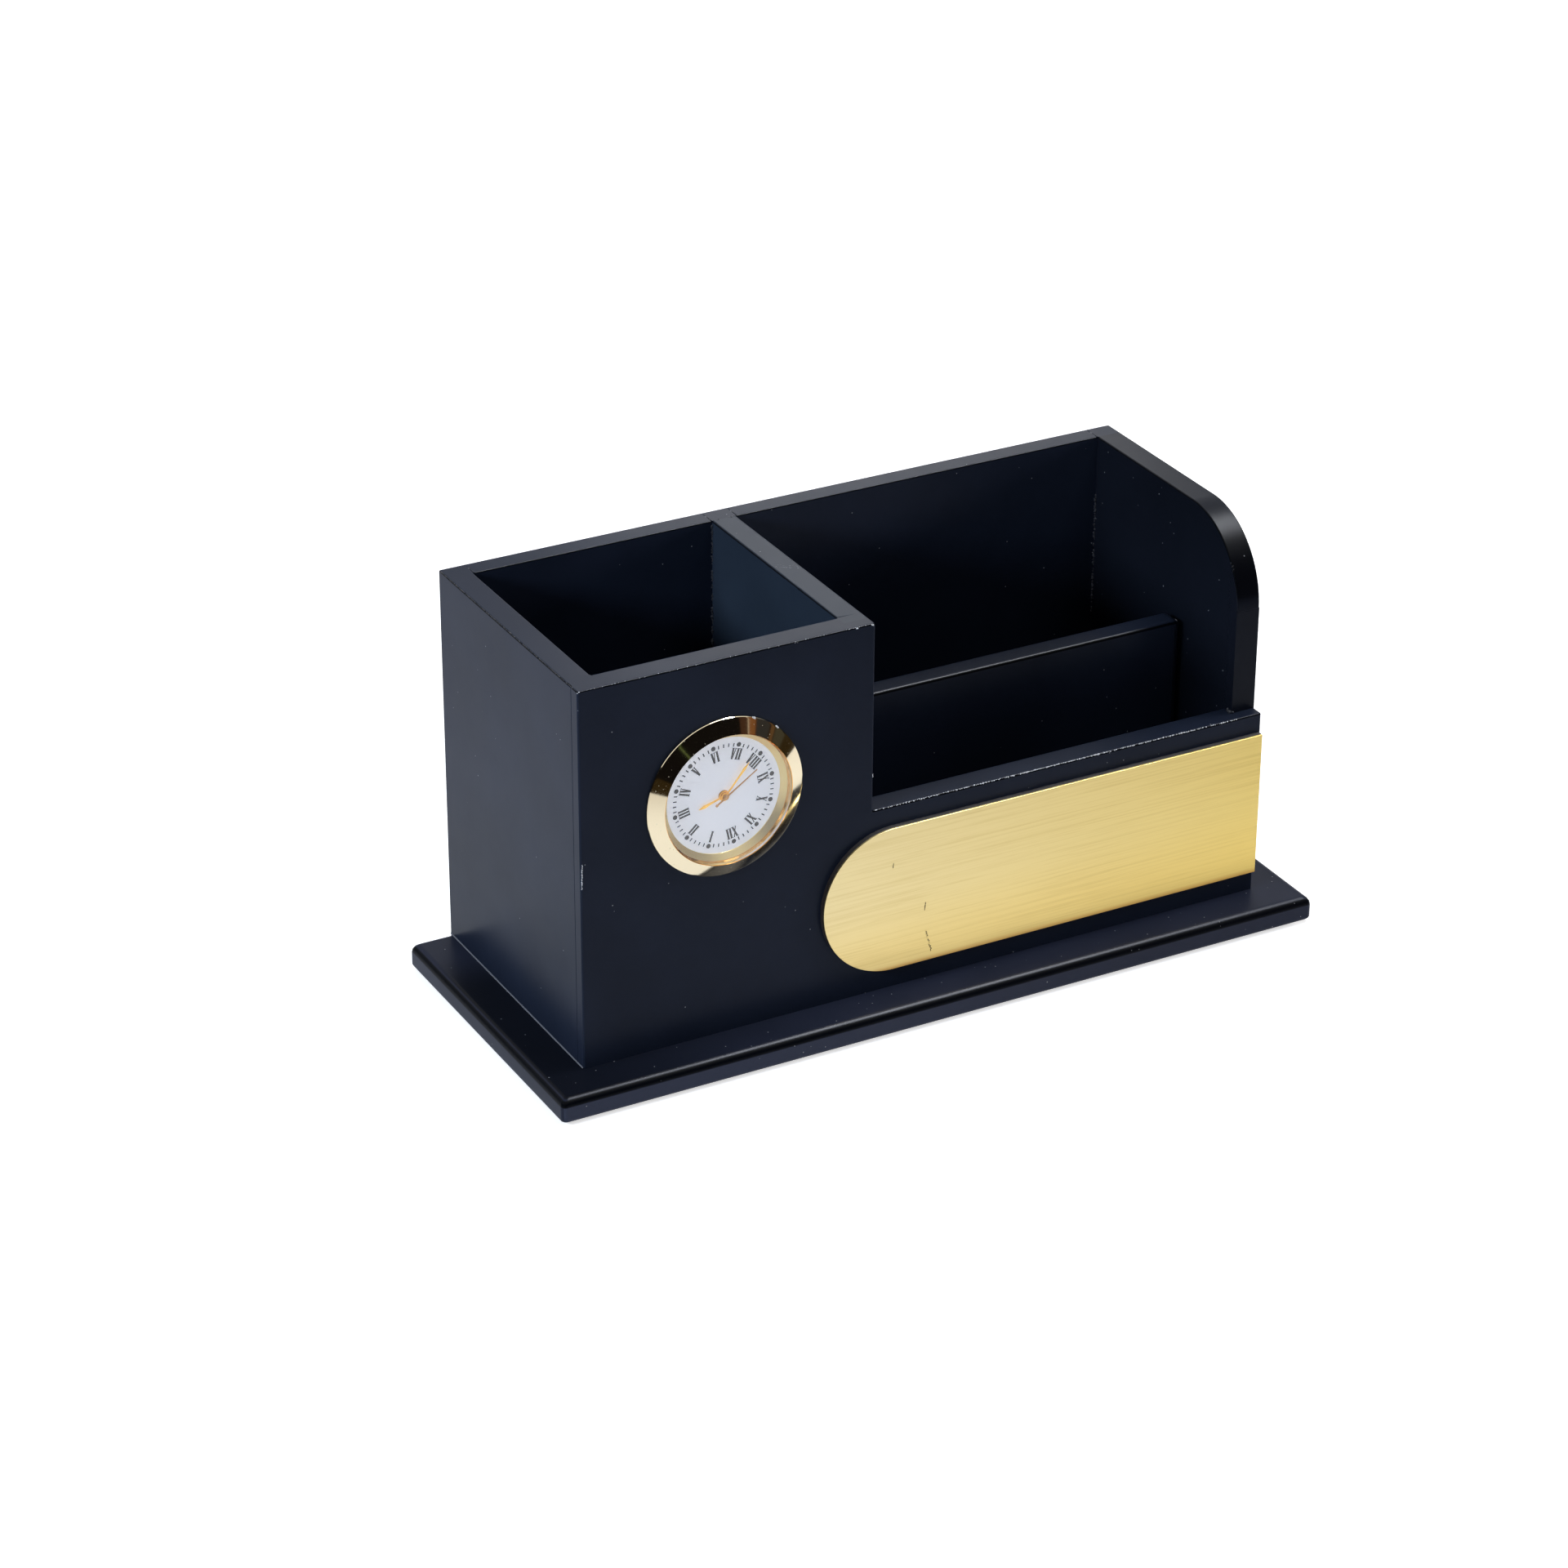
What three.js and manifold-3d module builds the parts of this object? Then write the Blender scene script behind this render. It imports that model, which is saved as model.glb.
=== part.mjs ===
// Pen holder clock for a desk: a satin black box of thin boards on a rounded base board, with an open
// pen bay on the left, two card slots on the right, a gold plate on the low front, and a small quartz
// clock insert pushed into a round hole in the high front.
// Millimetres, +Z up, front towards -Y. The origin is the middle of the underside.
import * as THREE from 'three';
import { mergeVertices } from 'three/addons/utils/BufferGeometryUtils.js';
import Module from 'manifold-3d';

const wasm = await Module();
wasm.setup();

// Box of boards
const bodyWidth = 170;
const bodyDepth = 66.5;
const bodyHeight = 89.5;
const lowFrontHeight = 44.8;
const highFrontWidth = 70;
const frontThickness = 6;
const sideThickness = 6;
const dividerThickness = 6;
const backThickness = 4;
const rabbetDepth = 3;
const rightCornerRadius = 20;

// Board between the two card slots
const frontSlotWidth = 17.4;
const partitionThickness = 5.5;
const partitionHeight = 59.6;
const partitionEndGap = 1;
const partitionCornerRadius = 0.8;

// Base board and the felt under it
const baseSideOverhang = 10;
const baseFrontOverhang = 10;
const baseBackOverhang = 1;
const baseThickness = 5.8;
const baseRoundover = 2;
const baseBottomEase = 0.6;
const baseCornerRadius = 3;
const feltThickness = 0.8;
const feltInset = 3;

// Countersunk screws, from under the base up into the two outer sides
const screwHeadRadius = 2.5;
const screwHeadRim = 0.3;
const screwHeadHeight = 1.7;
const screwShankRadius = 1.1;
const screwLength = 18;
const screwTipLength = 1.6;
const screwPlaceShares = [0.2, 0.8];

// Gold plate on a black backing
const plateLength = 112.2;
const plateHeight = 34.9;
const plateBottom = 5.25;
const plateEndInset = 0.5;
const plateSkin = 0.5;
const plateBacking = 1.1;

// Clock insert: its place, and radii from the hole inwards
const clockFromLeft = 33.9;
const clockFromTop = 32.2;
const clockHoleRadius = 17;
const bandFinDepth = 0.3;
const bandThickness = 0.3;
const cupWall = 1;
const cupLedge = 0.6;
const bezelRadius = 18.5;
const bezelInnerRadius = 15.1;
const dialOpeningRadius = 13.5;
const lensLedgeWidth = 0.8;

// Clock insert: depths behind the face of the front board, and heights before it
const bezelRimHeight = 0.8;
const bezelHeight = 2.3;
const bezelEase = 0.2;
const bezelSkirtDepth = 1.2;
const bezelSkirtWall = 0.5;
const lensThickness = 0.9;
const lensDome = 0.15;
const lensLedgeThickness = 0.4;
const lensLedgeRoot = 0.8;
const dialDepth = 0.3;
const dialThickness = 0.4;
const cupDepth = 9;
const cupBackWall = 1;
const cupEdgeEase = 0.5;
const bandLength = 3.8;
const bandFins = 3;
const bandBeadHeight = 0.4;
const bandBeadLength = 0.4;
const bandFinShares = [1 / 2, 5 / 6];

// Movement: plates, wheels and arbors
const motionGap = 1.6;
const movementPlate = 0.7;
const trainHeight = 3;
const wheelThickness = 0.4;
const arborRadius = 0.2;
const dialSeatWidth = 0.8;
const pillarRadius = 0.95;
const plateScrewHeadRadius = 1;
const plateScrewHeadHeight = 0.4;
const plateScrewShankRadius = 0.4;
const plateScrewDepth = 1.8;
const pillarAngles = [8, 128, 268];
const stepModuleShare = 0.8;
const cannonModuleShare = 1.1;
const addendumShare = 0.9;
const dedendumShare = 1.25;
const toothRootShare = 0.26;
const toothTipShare = 0.1;

// Tooth counts: the rotor turns 30 times for one turn of the second hand
const rotorTeeth = 6;
const stepWheelTeeth = 30;
const stepPinionTeeth = 8;
const secondWheelTeeth = 48;
const secondPinionTeeth = 6;
const thirdWheelTeeth = 48;
const thirdPinionTeeth = 6;
const centreWheelTeeth = 45;
const cannonTeeth = 10;
const minuteWheelTeeth = 30;
const minutePinionTeeth = 8;
const hourWheelTeeth = 32;
const settingTeeth = 10;

// Directions of the arbors, in degrees, anticlockwise from +X as seen from the front
const thirdDirection = 330;
const stepDirection = 215;
const rotorDirection = 255;
const minuteDirection = 165;
const settingDirection = 141;
const batteryDirection = 90;

// Rotor, stator and coil
const rotorMagnetRadius = 1.1;
const rotorMagnetHeight = 1.3;
const statorThickness = 0.5;
const coilRadius = 1.35;
const coilLength = 7.6;
const coilShiftShare = 0.6;
const coilPlaceShare = 0.83;
const coilCheekThickness = 0.4;
const coilCheekLift = 0.12;
const coilCoreWidth = 0.9;
const coilCoreThickness = 0.5;
const coilEndLength = 1.3;

// Button cell, its contacts and its cover
const batteryRadius = 3.95;
const batteryHeight = 3.6;
const batteryCapRadius = 3;
const batteryCapHeight = 0.4;
const contactThickness = 0.2;
const contactWidth = 2;
const contactHeight = 3.4;
const capContactTail = 3;
const wallContactStart = 80;
const wallContactEnd = 135;
const coverLip = 0.5;
const coverFlange = 0.4;
const coinSlotWidth = 0.9;
const coinSlotDepth = 0.35;
const coinSlotShare = 1.5;

// Circuit board, crystal and chip
const boardSheet = 0.4;
const boardStart = 20;
const boardEnd = 64;
const crystalRadius = 0.85;
const crystalLength = 5.6;
const chipWidth = 2.2;
const chipHeight = 0.7;
const chipPlaceShare = 0.8;

// Setting knob
const settingShaftRadius = 0.5;
const knobRadius = 2.4;
const knobHeight = 1.2;
const knobRidges = 16;
const knobRidgeShare = 0.92;

// Hands: angles clockwise from straight up as seen from the front
const hourAngle = 252.9;
const minuteAngle = 39.9;
const secondAngle = 56.4;
const handThickness = 0.15;
const handSpacing = 0.25;
const hourHandLength = 6.4;
const hourHandWidth = 0.7;
const hourHandStem = 0.34;
const minuteHandLength = 9;
const minuteHandWidth = 0.66;
const minuteHandStem = 0.3;
const secondHandLength = 8.9;
const secondHandWidth = 0.24;
const secondHandTail = 2.6;
const secondTailRadius = 0.36;
const leafShare = 0.8;
const secondArborRadius = 0.25;
const pipeWall = 0.22;
const pipePlay = 0.13;
const handHubMargin = 0.3;
const capMargin = 0.3;

// Clearances, and one overrun for every cut
const fitGap = 0.3;
const runningGap = 0.2;
const closeGap = 0.1;
const pressGap = 0.05;
const overrun = 1;

// Facets
const ringSegments = 36;
const discSegments = 28;
const arborSegments = 10;
const cornerSegments = 4;
const curveSegments = 12;
const domeRings = 3;
const mergeShare = 0.00002;

const wood = { color: 0x23262e, roughness: 0.45, metalness: 0 };
const gold = { color: 0xd9bd6b, roughness: 0.25, metalness: 1 };
const blackBacking = { color: 0x1b1815, roughness: 0.8, metalness: 0 };
const felt = { color: 0x141517, roughness: 1, metalness: 0 };
const steel = { color: 0x9a9ea3, roughness: 0.35, metalness: 1 };
const glass = { color: 0xf2f6f7, roughness: 0.05, metalness: 0 };
const ivory = { color: 0xf1ecdf, roughness: 0.5, metalness: 0 };
const brass = { color: 0xc9a24d, roughness: 0.3, metalness: 1 };
const copper = { color: 0xb06a3e, roughness: 0.35, metalness: 1 };
const blackPlastic = { color: 0x17181a, roughness: 0.5, metalness: 0 };
const whitePlastic = { color: 0xe9e8e3, roughness: 0.5, metalness: 0 };
const rubber = { color: 0x202022, roughness: 0.9, metalness: 0 };
const greenBoard = { color: 0x1d5a3a, roughness: 0.5, metalness: 0 };
const magnet = { color: 0x55575c, roughness: 0.4, metalness: 1 };

const radians = (degrees) => (degrees * Math.PI) / 180;

function toSolid(geometry) {
  const bare = geometry.clone();
  bare.deleteAttribute('normal');
  bare.deleteAttribute('uv');
  const merged = mergeVertices(bare, mergeShare * bodyWidth);
  const places = merged.getAttribute('position');
  const corners = [];
  for (let i = 0; i < merged.index.count; i += 3) {
    const [a, b, c] = [0, 1, 2].map((k) => merged.index.getX(i + k));
    if (a !== b && b !== c && c !== a) corners.push([a, b, c]);
  }
  const at = (i) => new THREE.Vector3().fromBufferAttribute(places, i);
  const volume = corners.reduce((sum, [a, b, c]) => sum + at(a).dot(at(b).cross(at(c))), 0);
  const outward = volume < 0 ? corners.map(([a, b, c]) => [a, c, b]) : corners;
  return new wasm.Manifold(new wasm.Mesh({
    numProp: 3,
    vertProperties: new Float32Array(places.array),
    triVerts: new Uint32Array(outward.flat()),
  }));
}

function place(parent, name, solid, look) {
  const result = solid.getMesh();
  const geometry = new THREE.BufferGeometry();
  geometry.setAttribute('position', new THREE.BufferAttribute(new Float32Array(result.vertProperties), 3));
  geometry.setIndex(new THREE.BufferAttribute(new Uint32Array(result.triVerts), 1));
  geometry.computeVertexNormals();
  const mesh = new THREE.Mesh(geometry, new THREE.MeshStandardMaterial(look));
  mesh.name = name;
  parent.add(mesh);
  return mesh;
}

// A box between two corners
function block([x0, x1], [y0, y1], [z0, z1]) {
  const geometry = new THREE.BoxGeometry(x1 - x0, y1 - y0, z1 - z0);
  return toSolid(geometry.translate((x0 + x1) / 2, (y0 + y1) / 2, (z0 + z1) / 2));
}

// An outline in X and Z, as seen from the front, from depth y0 to depth y1
function sheet(shape, y0, y1, segments = curveSegments) {
  const options = { depth: y1 - y0, bevelEnabled: false, curveSegments: segments };
  return toSolid(new THREE.ExtrudeGeometry(shape, options).rotateX(Math.PI / 2).translate(0, y1, 0));
}

// An outline in Y and Z, from x0 to x1
function slab(shape, x0, x1, segments = curveSegments) {
  const options = { depth: x1 - x0, bevelEnabled: false, curveSegments: segments };
  const turn = new THREE.Matrix4().makeBasis(
    new THREE.Vector3(0, 1, 0),
    new THREE.Vector3(0, 0, 1),
    new THREE.Vector3(1, 0, 0),
  );
  return toSolid(new THREE.ExtrudeGeometry(shape, options).applyMatrix4(turn).translate(x0, 0, 0));
}

// A profile of radius and depth turned about the Y axis
function turned(points, segments = ringSegments) {
  const profile = points.map(([radius, depth]) => new THREE.Vector2(radius, depth));
  return toSolid(new THREE.LatheGeometry(profile, segments));
}

// A plain round bar along Y
function bar(radius, y0, y1, segments = arborSegments) {
  return turned([[0, y0], [radius, y0], [radius, y1], [0, y1]], segments);
}

// A tube along Y
function tube(inner, outer, y0, y1, segments = arborSegments) {
  return turned([[inner, y0], [outer, y0], [outer, y1], [inner, y1], [inner, y0]], segments);
}

const shifted = (solid, spot) => solid.translate([spot.x, 0, spot.z]);

function outline(points) {
  return new THREE.Shape(points.map(([x, z]) => new THREE.Vector2(x, z)));
}

// A point at a distance and a direction from another
function polar(from, distance, degrees) {
  const angle = radians(degrees);
  return { x: from.x + distance * Math.cos(angle), z: from.z + distance * Math.sin(angle) };
}

function roundedRectangle(x0, x1, y0, y1, radius) {
  const shape = new THREE.Shape();
  shape.moveTo(x0 + radius, y0);
  shape.lineTo(x1 - radius, y0);
  shape.absarc(x1 - radius, y0 + radius, radius, -Math.PI / 2, 0, false);
  shape.lineTo(x1, y1 - radius);
  shape.absarc(x1 - radius, y1 - radius, radius, 0, Math.PI / 2, false);
  shape.lineTo(x0 + radius, y1);
  shape.absarc(x0 + radius, y1 - radius, radius, Math.PI / 2, Math.PI, false);
  shape.lineTo(x0, y0 + radius);
  shape.absarc(x0 + radius, y0 + radius, radius, Math.PI, Math.PI * 1.5, false);
  return shape;
}

// Places in the box
const clockHeight = bodyHeight - clockFromTop;
const backFace = bodyDepth - backThickness;
const sideFront = rabbetDepth;
const rightInner = bodyWidth - sideThickness;
const dividerLeft = highFrontWidth - dividerThickness;
const partitionFront = frontThickness + frontSlotWidth;

// Screw places under the two outer sides
function screwSpots() {
  const run = backFace - sideFront;
  return [sideThickness / 2, bodyWidth - sideThickness / 2].flatMap((x) =>
    screwPlaceShares.map((share) => ({ x, y: sideFront + run * share })));
}

// Turned form of a screw standing head down, from the underside of the base board
function screwForm(play, length) {
  const tip = play > 0 ? 0 : screwTipLength;
  const start = play > 0 ? -overrun : fitGap / 2;
  const geometry = new THREE.LatheGeometry([
    new THREE.Vector2(0, start),
    new THREE.Vector2(screwHeadRadius + play, start),
    new THREE.Vector2(screwHeadRadius + play, screwHeadRim + play),
    new THREE.Vector2(screwShankRadius + play, screwHeadHeight + play),
    new THREE.Vector2(screwShankRadius + play, length - tip),
    new THREE.Vector2(0, length),
  ], arborSegments);
  return toSolid(geometry.rotateX(Math.PI / 2)).translate([0, 0, -baseThickness]);
}

// Base board: its top edge is rounded over, its underside edge just eased
function baseBoard() {
  const rings = [[-baseThickness, baseBottomEase], [baseBottomEase - baseThickness, 0]];
  for (let i = 0; i <= cornerSegments; i += 1) {
    const angle = (Math.PI / 2) * (i / cornerSegments);
    const inset = baseRoundover * (1 - Math.cos(angle));
    rings.push([baseRoundover * (Math.sin(angle) - 1), inset]);
  }
  const loops = rings.map(([height, inset]) => {
    const shape = roundedRectangle(
      inset - baseSideOverhang,
      bodyWidth + baseSideOverhang - inset,
      inset - baseFrontOverhang,
      bodyDepth + baseBackOverhang - inset,
      baseCornerRadius - inset / 2,
    );
    return shape.getPoints(cornerSegments).map((point) => [point.x, point.y, height]);
  });
  const geometry = new THREE.BufferGeometry();
  const middle = (height) => [bodyWidth / 2, bodyDepth / 2, height];
  const count = loops[0].length;
  const triangles = [];
  loops.slice(1).forEach((loop, level) => {
    const below = loops[level];
    for (let i = 0; i < count; i += 1) {
      const next = (i + 1) % count;
      triangles.push(below[i], below[next], loop[next], below[i], loop[next], loop[i]);
    }
  });
  for (let i = 0; i < count; i += 1) {
    const next = (i + 1) % count;
    const [bottom, top] = [loops[0], loops[loops.length - 1]];
    triangles.push(bottom[next], bottom[i], middle(bottom[0][2]));
    triangles.push(top[i], top[next], middle(top[0][2]));
  }
  geometry.setAttribute('position', new THREE.Float32BufferAttribute(triangles.flat(), 3));
  const sink = screwForm(fitGap, baseThickness + overrun);
  return screwSpots().reduce(
    (board, spot) => board.subtract(sink.translate([spot.x, spot.y, 0])),
    toSolid(geometry),
  );
}

function feltSheet() {
  const shape = roundedRectangle(
    feltInset - baseSideOverhang,
    bodyWidth + baseSideOverhang - feltInset,
    feltInset - baseFrontOverhang,
    bodyDepth + baseBackOverhang - feltInset,
    baseCornerRadius,
  );
  const options = { depth: feltThickness, bevelEnabled: false, curveSegments: cornerSegments };
  return toSolid(new THREE.ExtrudeGeometry(shape, options).translate(0, 0, -baseThickness - feltThickness));
}

// High and low front in one board, housed for the two sides and the divider, with the clock hole
function frontBoard() {
  const shape = outline([
    [0, 0], [bodyWidth, 0], [bodyWidth, lowFrontHeight],
    [highFrontWidth, lowFrontHeight], [highFrontWidth, bodyHeight], [0, bodyHeight],
  ]);
  const hole = new THREE.Path();
  hole.absarc(clockFromLeft, clockHeight, clockHoleRadius, 0, Math.PI * 2, true);
  shape.holes.push(hole);
  const housing = (x0, x1) =>
    block([x0, x1], [rabbetDepth, frontThickness + overrun], [-overrun, bodyHeight + overrun]);
  return sheet(shape, 0, frontThickness, ringSegments)
    .subtract(housing(-overrun, sideThickness))
    .subtract(housing(dividerLeft, highFrontWidth))
    .subtract(housing(rightInner, bodyWidth + overrun));
}

// An outer side with its screw holes; a radius rounds its top front corner
function sideBoard(x0, cornerRadius) {
  const shape = new THREE.Shape();
  shape.moveTo(sideFront, 0);
  shape.lineTo(backFace, 0);
  shape.lineTo(backFace, bodyHeight);
  shape.lineTo(sideFront + cornerRadius, bodyHeight);
  if (cornerRadius > 0) {
    const centre = [sideFront + cornerRadius, bodyHeight - cornerRadius];
    shape.absarc(...centre, cornerRadius, Math.PI / 2, Math.PI, false);
  }
  const depth = screwLength - baseThickness + fitGap;
  const pilot = new THREE.CylinderGeometry(
    screwShankRadius + fitGap,
    screwShankRadius + fitGap,
    depth + overrun,
    arborSegments,
  ).rotateX(Math.PI / 2).translate(0, 0, (depth - overrun) / 2);
  return screwSpots()
    .filter((spot) => spot.x > x0 && spot.x < x0 + sideThickness)
    .reduce(
      (board, spot) => board.subtract(toSolid(pilot).translate([spot.x, spot.y, 0])),
      slab(shape, x0, x0 + sideThickness),
    );
}

// Board between the card slots, its top edges just rounded
function slotPartition() {
  const [y0, y1] = [partitionFront, partitionFront + partitionThickness];
  const ease = partitionCornerRadius;
  const shape = new THREE.Shape();
  shape.moveTo(y0, 0);
  shape.lineTo(y1, 0);
  shape.lineTo(y1, partitionHeight - ease);
  shape.absarc(y1 - ease, partitionHeight - ease, ease, 0, Math.PI / 2, false);
  shape.lineTo(y0 + ease, partitionHeight);
  shape.absarc(y0 + ease, partitionHeight - ease, ease, Math.PI / 2, Math.PI, false);
  return slab(shape, highFrontWidth, rightInner - partitionEndGap, cornerSegments);
}

// Plate outline: square at the right, a half circle at the left
function plateOutline() {
  const radius = plateHeight / 2;
  const right = bodyWidth - plateEndInset;
  const centre = [right - plateLength + radius, plateBottom + radius];
  const shape = new THREE.Shape();
  shape.moveTo(right, plateBottom);
  shape.lineTo(right, plateBottom + plateHeight);
  shape.lineTo(centre[0], plateBottom + plateHeight);
  shape.absarc(...centre, radius, Math.PI / 2, Math.PI * 1.5, false);
  return shape;
}

// Radii of the insert, all worked out from the hole in the board
const bandOuter = clockHoleRadius - fitGap;
const bandRoot = bandOuter - bandFinDepth;
const bandInner = bandRoot - bandThickness;
const cupRadius = bandInner - closeGap;
const cupInner = cupRadius - cupWall;
const cavityRadius = cupInner - cupLedge;
const lensRadius = bezelInnerRadius - closeGap;
const centre = { x: 0, z: 0 };

// Depths of the layers, from the dial backwards
const dialBack = dialDepth + dialThickness;
const motionBack = dialBack + motionGap;
const trainFront = motionBack + movementPlate;
const trainBack = trainFront + trainHeight;
const movementBack = trainBack + movementPlate;
const cupFloor = cupDepth - cupBackWall;
const layerStep = trainHeight / 4;
const layer = (index) => {
  const start = trainFront + layerStep * index + (layerStep - wheelThickness) / 2;
  return [start, start + wheelThickness];
};
const [centreLayer, thirdLayer, secondLayer, stepLayer] = [0, 1, 2, 3].map(layer);
const hourLayer = [dialBack + runningGap, dialBack + runningGap + wheelThickness];
const minuteLayer = [motionBack - fitGap - wheelThickness, motionBack - fitGap];

// The wheels fill the room that the cell leaves in the cup
const centreWheelTip = cavityRadius - fitGap - batteryRadius * 2 - fitGap - contactThickness;
const centreModule = centreWheelTip / (centreWheelTeeth / 2 + addendumShare);
const secondModule = centreWheelTip / (secondWheelTeeth / 2 + addendumShare);
const thirdDistance = (centreModule * (centreWheelTeeth + thirdPinionTeeth)) / 2;
const thirdModule = (thirdDistance * 2) / (secondPinionTeeth + thirdWheelTeeth);
const stepDistance = (secondModule * (secondWheelTeeth + stepPinionTeeth)) / 2;
const stepModule = secondModule * stepModuleShare;
const rotorDistance = (stepModule * (rotorTeeth + stepWheelTeeth)) / 2;
const cannonModule = centreModule * cannonModuleShare;
const minuteDistance = (cannonModule * (cannonTeeth + minuteWheelTeeth)) / 2;
const hourModule = (minuteDistance * 2) / (minutePinionTeeth + hourWheelTeeth);
const settingDistance = (cannonModule * (minuteWheelTeeth + settingTeeth)) / 2;

const thirdSpot = polar(centre, thirdDistance, thirdDirection);
const stepSpot = polar(centre, stepDistance, stepDirection);
const rotorSpot = polar(stepSpot, rotorDistance, rotorDirection);
const minuteSpot = polar(centre, minuteDistance, minuteDirection);
const settingSpot = polar(minuteSpot, settingDistance, settingDirection);
const batterySpot = polar(centre, cavityRadius - fitGap - batteryRadius, batteryDirection);

// A toothed outline; a tooth, or with gapFacing a gap, looks along the facing direction
function gear(teeth, module, [y0, y1], facing, gapFacing = false) {
  const pitch = (Math.PI * 2) / teeth;
  const root = module * (teeth / 2 - dedendumShare);
  const tip = module * (teeth / 2 + addendumShare);
  const points = [];
  const flank = [[root, toothRootShare], [tip, toothTipShare]];
  const tooth = [[root, -toothRootShare], [tip, -toothTipShare], ...flank.reverse()];
  for (let i = 0; i < teeth; i += 1) {
    const middle = radians(facing) + pitch * (i + (gapFacing ? 1 / 2 : 0));
    tooth.forEach(([radius, share]) => {
      const angle = middle + pitch * share;
      points.push([radius * Math.cos(angle), radius * Math.sin(angle)]);
    });
  }
  return sheet(outline(points), y0, y1);
}

const joined = (...solids) => solids.reduce((sum, solid) => sum.add(solid));
const drilled = (solid, radius, spot, [y0, y1], segments = arborSegments) =>
  solid.subtract(shifted(bar(radius, y0 - overrun, y1 + overrun, segments), spot));

// Bezel: a shallow polished cone with a pocket for the lens and a skirt that holds the cup
function bezel() {
  const ledge = bezelInnerRadius - lensLedgeWidth;
  const seat = lensThickness - bezelHeight;
  const skirt = cupRadius + closeGap;
  return turned([
    [ledge, seat], [bezelInnerRadius, seat], [bezelInnerRadius, -bezelHeight],
    [bezelInnerRadius + bezelEase, -bezelHeight],
    [bezelRadius - bezelEase, -bezelRimHeight - bezelEase / 2],
    [bezelRadius, bezelEase / 2 - bezelRimHeight], [bezelRadius, 0],
    [skirt + bezelSkirtWall, 0], [skirt + bezelSkirtWall, bezelSkirtDepth],
    [skirt, bezelSkirtDepth], [skirt, 0], [cupInner, 0],
    [cupInner, seat + lensLedgeRoot], [ledge, seat + lensLedgeThickness], [ledge, seat],
  ]);
}

function lens() {
  const seat = lensThickness - bezelHeight;
  const points = [[0, seat], [lensRadius, seat], [lensRadius, -bezelHeight]];
  for (let i = domeRings - 1; i >= 0; i -= 1) {
    const share = i / domeRings;
    points.push([lensRadius * share, -bezelHeight - lensDome * (1 - share * share)]);
  }
  return turned(points);
}

// Sloped gold ring between the lens ledge and the dial
function dialRing() {
  const ledge = bezelInnerRadius - lensLedgeWidth;
  const top = lensThickness - bezelHeight + lensLedgeThickness + closeGap;
  return turned([
    [dialOpeningRadius, dialDepth], [cupInner - fitGap, dialDepth], [cupInner - fitGap, dialDepth / 2],
    [ledge, top], [ledge - closeGap, top], [dialOpeningRadius, dialDepth - closeGap],
    [dialOpeningRadius, dialDepth],
  ]);
}

// Cup: a plain round tub with a ledge for the movement, a bead for the band and a hatch for the cell
function cup() {
  const bandStart = bezelSkirtDepth + fitGap;
  const beadStart = bandStart + bandLength + fitGap;
  const bead = cupRadius + bandBeadHeight;
  const shell = turned([
    [cupInner, fitGap], [cupRadius, fitGap], [cupRadius, beadStart],
    [bead, beadStart], [bead, beadStart + bandBeadLength], [cupRadius, beadStart + bandBeadLength],
    [cupRadius, cupDepth - cupEdgeEase], [cupRadius - cupEdgeEase, cupDepth], [0, cupDepth],
    [0, cupFloor], [cavityRadius, cupFloor], [cavityRadius, trainFront + fitGap],
    [cupInner, trainFront + fitGap], [cupInner, fitGap],
  ]);
  const hatch = bar(batteryRadius + runningGap, cupFloor - overrun, cupDepth + overrun, discSegments);
  const hatchRecessRadius = batteryRadius + coverLip + fitGap;
  const recessDepth = coverFlange + closeGap;
  const recess = bar(hatchRecessRadius, cupDepth - recessDepth, cupDepth + overrun, discSegments);
  const opened = shell.subtract(shifted(hatch, batterySpot)).subtract(shifted(recess, batterySpot));
  return drilled(opened, settingShaftRadius + runningGap, settingSpot, [cupFloor, cupDepth]);
}

// Rubber band round the cup, with fins that hold in the hole
function gripBand() {
  const start = bezelSkirtDepth + fitGap;
  const pitch = bandLength / bandFins;
  const points = [[bandInner, start]];
  for (let i = 0; i < bandFins; i += 1) {
    const from = start + pitch * i;
    const [crest, foot] = bandFinShares.map((share) => from + pitch * share);
    points.push([bandRoot, from], [bandOuter, crest], [bandRoot, foot]);
  }
  points.push([bandRoot, start + bandLength], [bandInner, start + bandLength], [bandInner, start]);
  return turned(points);
}

function dial() {
  return tube(pipes.hourOuter + runningGap, cupInner - fitGap, dialDepth, dialBack, discSegments);
}

// Radii of the three nested pipes at the centre
const pipes = (() => {
  const minuteInner = secondArborRadius + pipePlay;
  const minuteOuter = minuteInner + pipeWall;
  const hourInner = minuteOuter + pipePlay;
  return { minuteInner, minuteOuter, hourInner, hourOuter: hourInner + pipeWall };
})();

// Depths of the three hands, which lie one before the other ahead of the dial
const handDepth = (index) => {
  const back = dialDepth - fitGap - (handThickness + handSpacing) * index;
  return [back - handThickness, back];
};
const [hourHandDepth, minuteHandDepth, secondHandDepth] = [0, 1, 2].map(handDepth);

// A leaf-shaped hand: a slim stem that widens and then runs to a point
function leafHand(length, stem, width, hub, bore, depth) {
  const shape = outline([
    [-stem / 2, 0], [stem / 2, 0], [width / 2, length * leafShare],
    [0, length], [-width / 2, length * leafShare],
  ]);
  return sheet(shape, ...depth)
    .add(bar(hub, ...depth, arborSegments * 2))
    .subtract(bar(bore, depth[0] - overrun, depth[1] + overrun, arborSegments));
}

const turnedTo = (solid, clockwise) => solid.rotate([0, clockwise, 0]);

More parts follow.
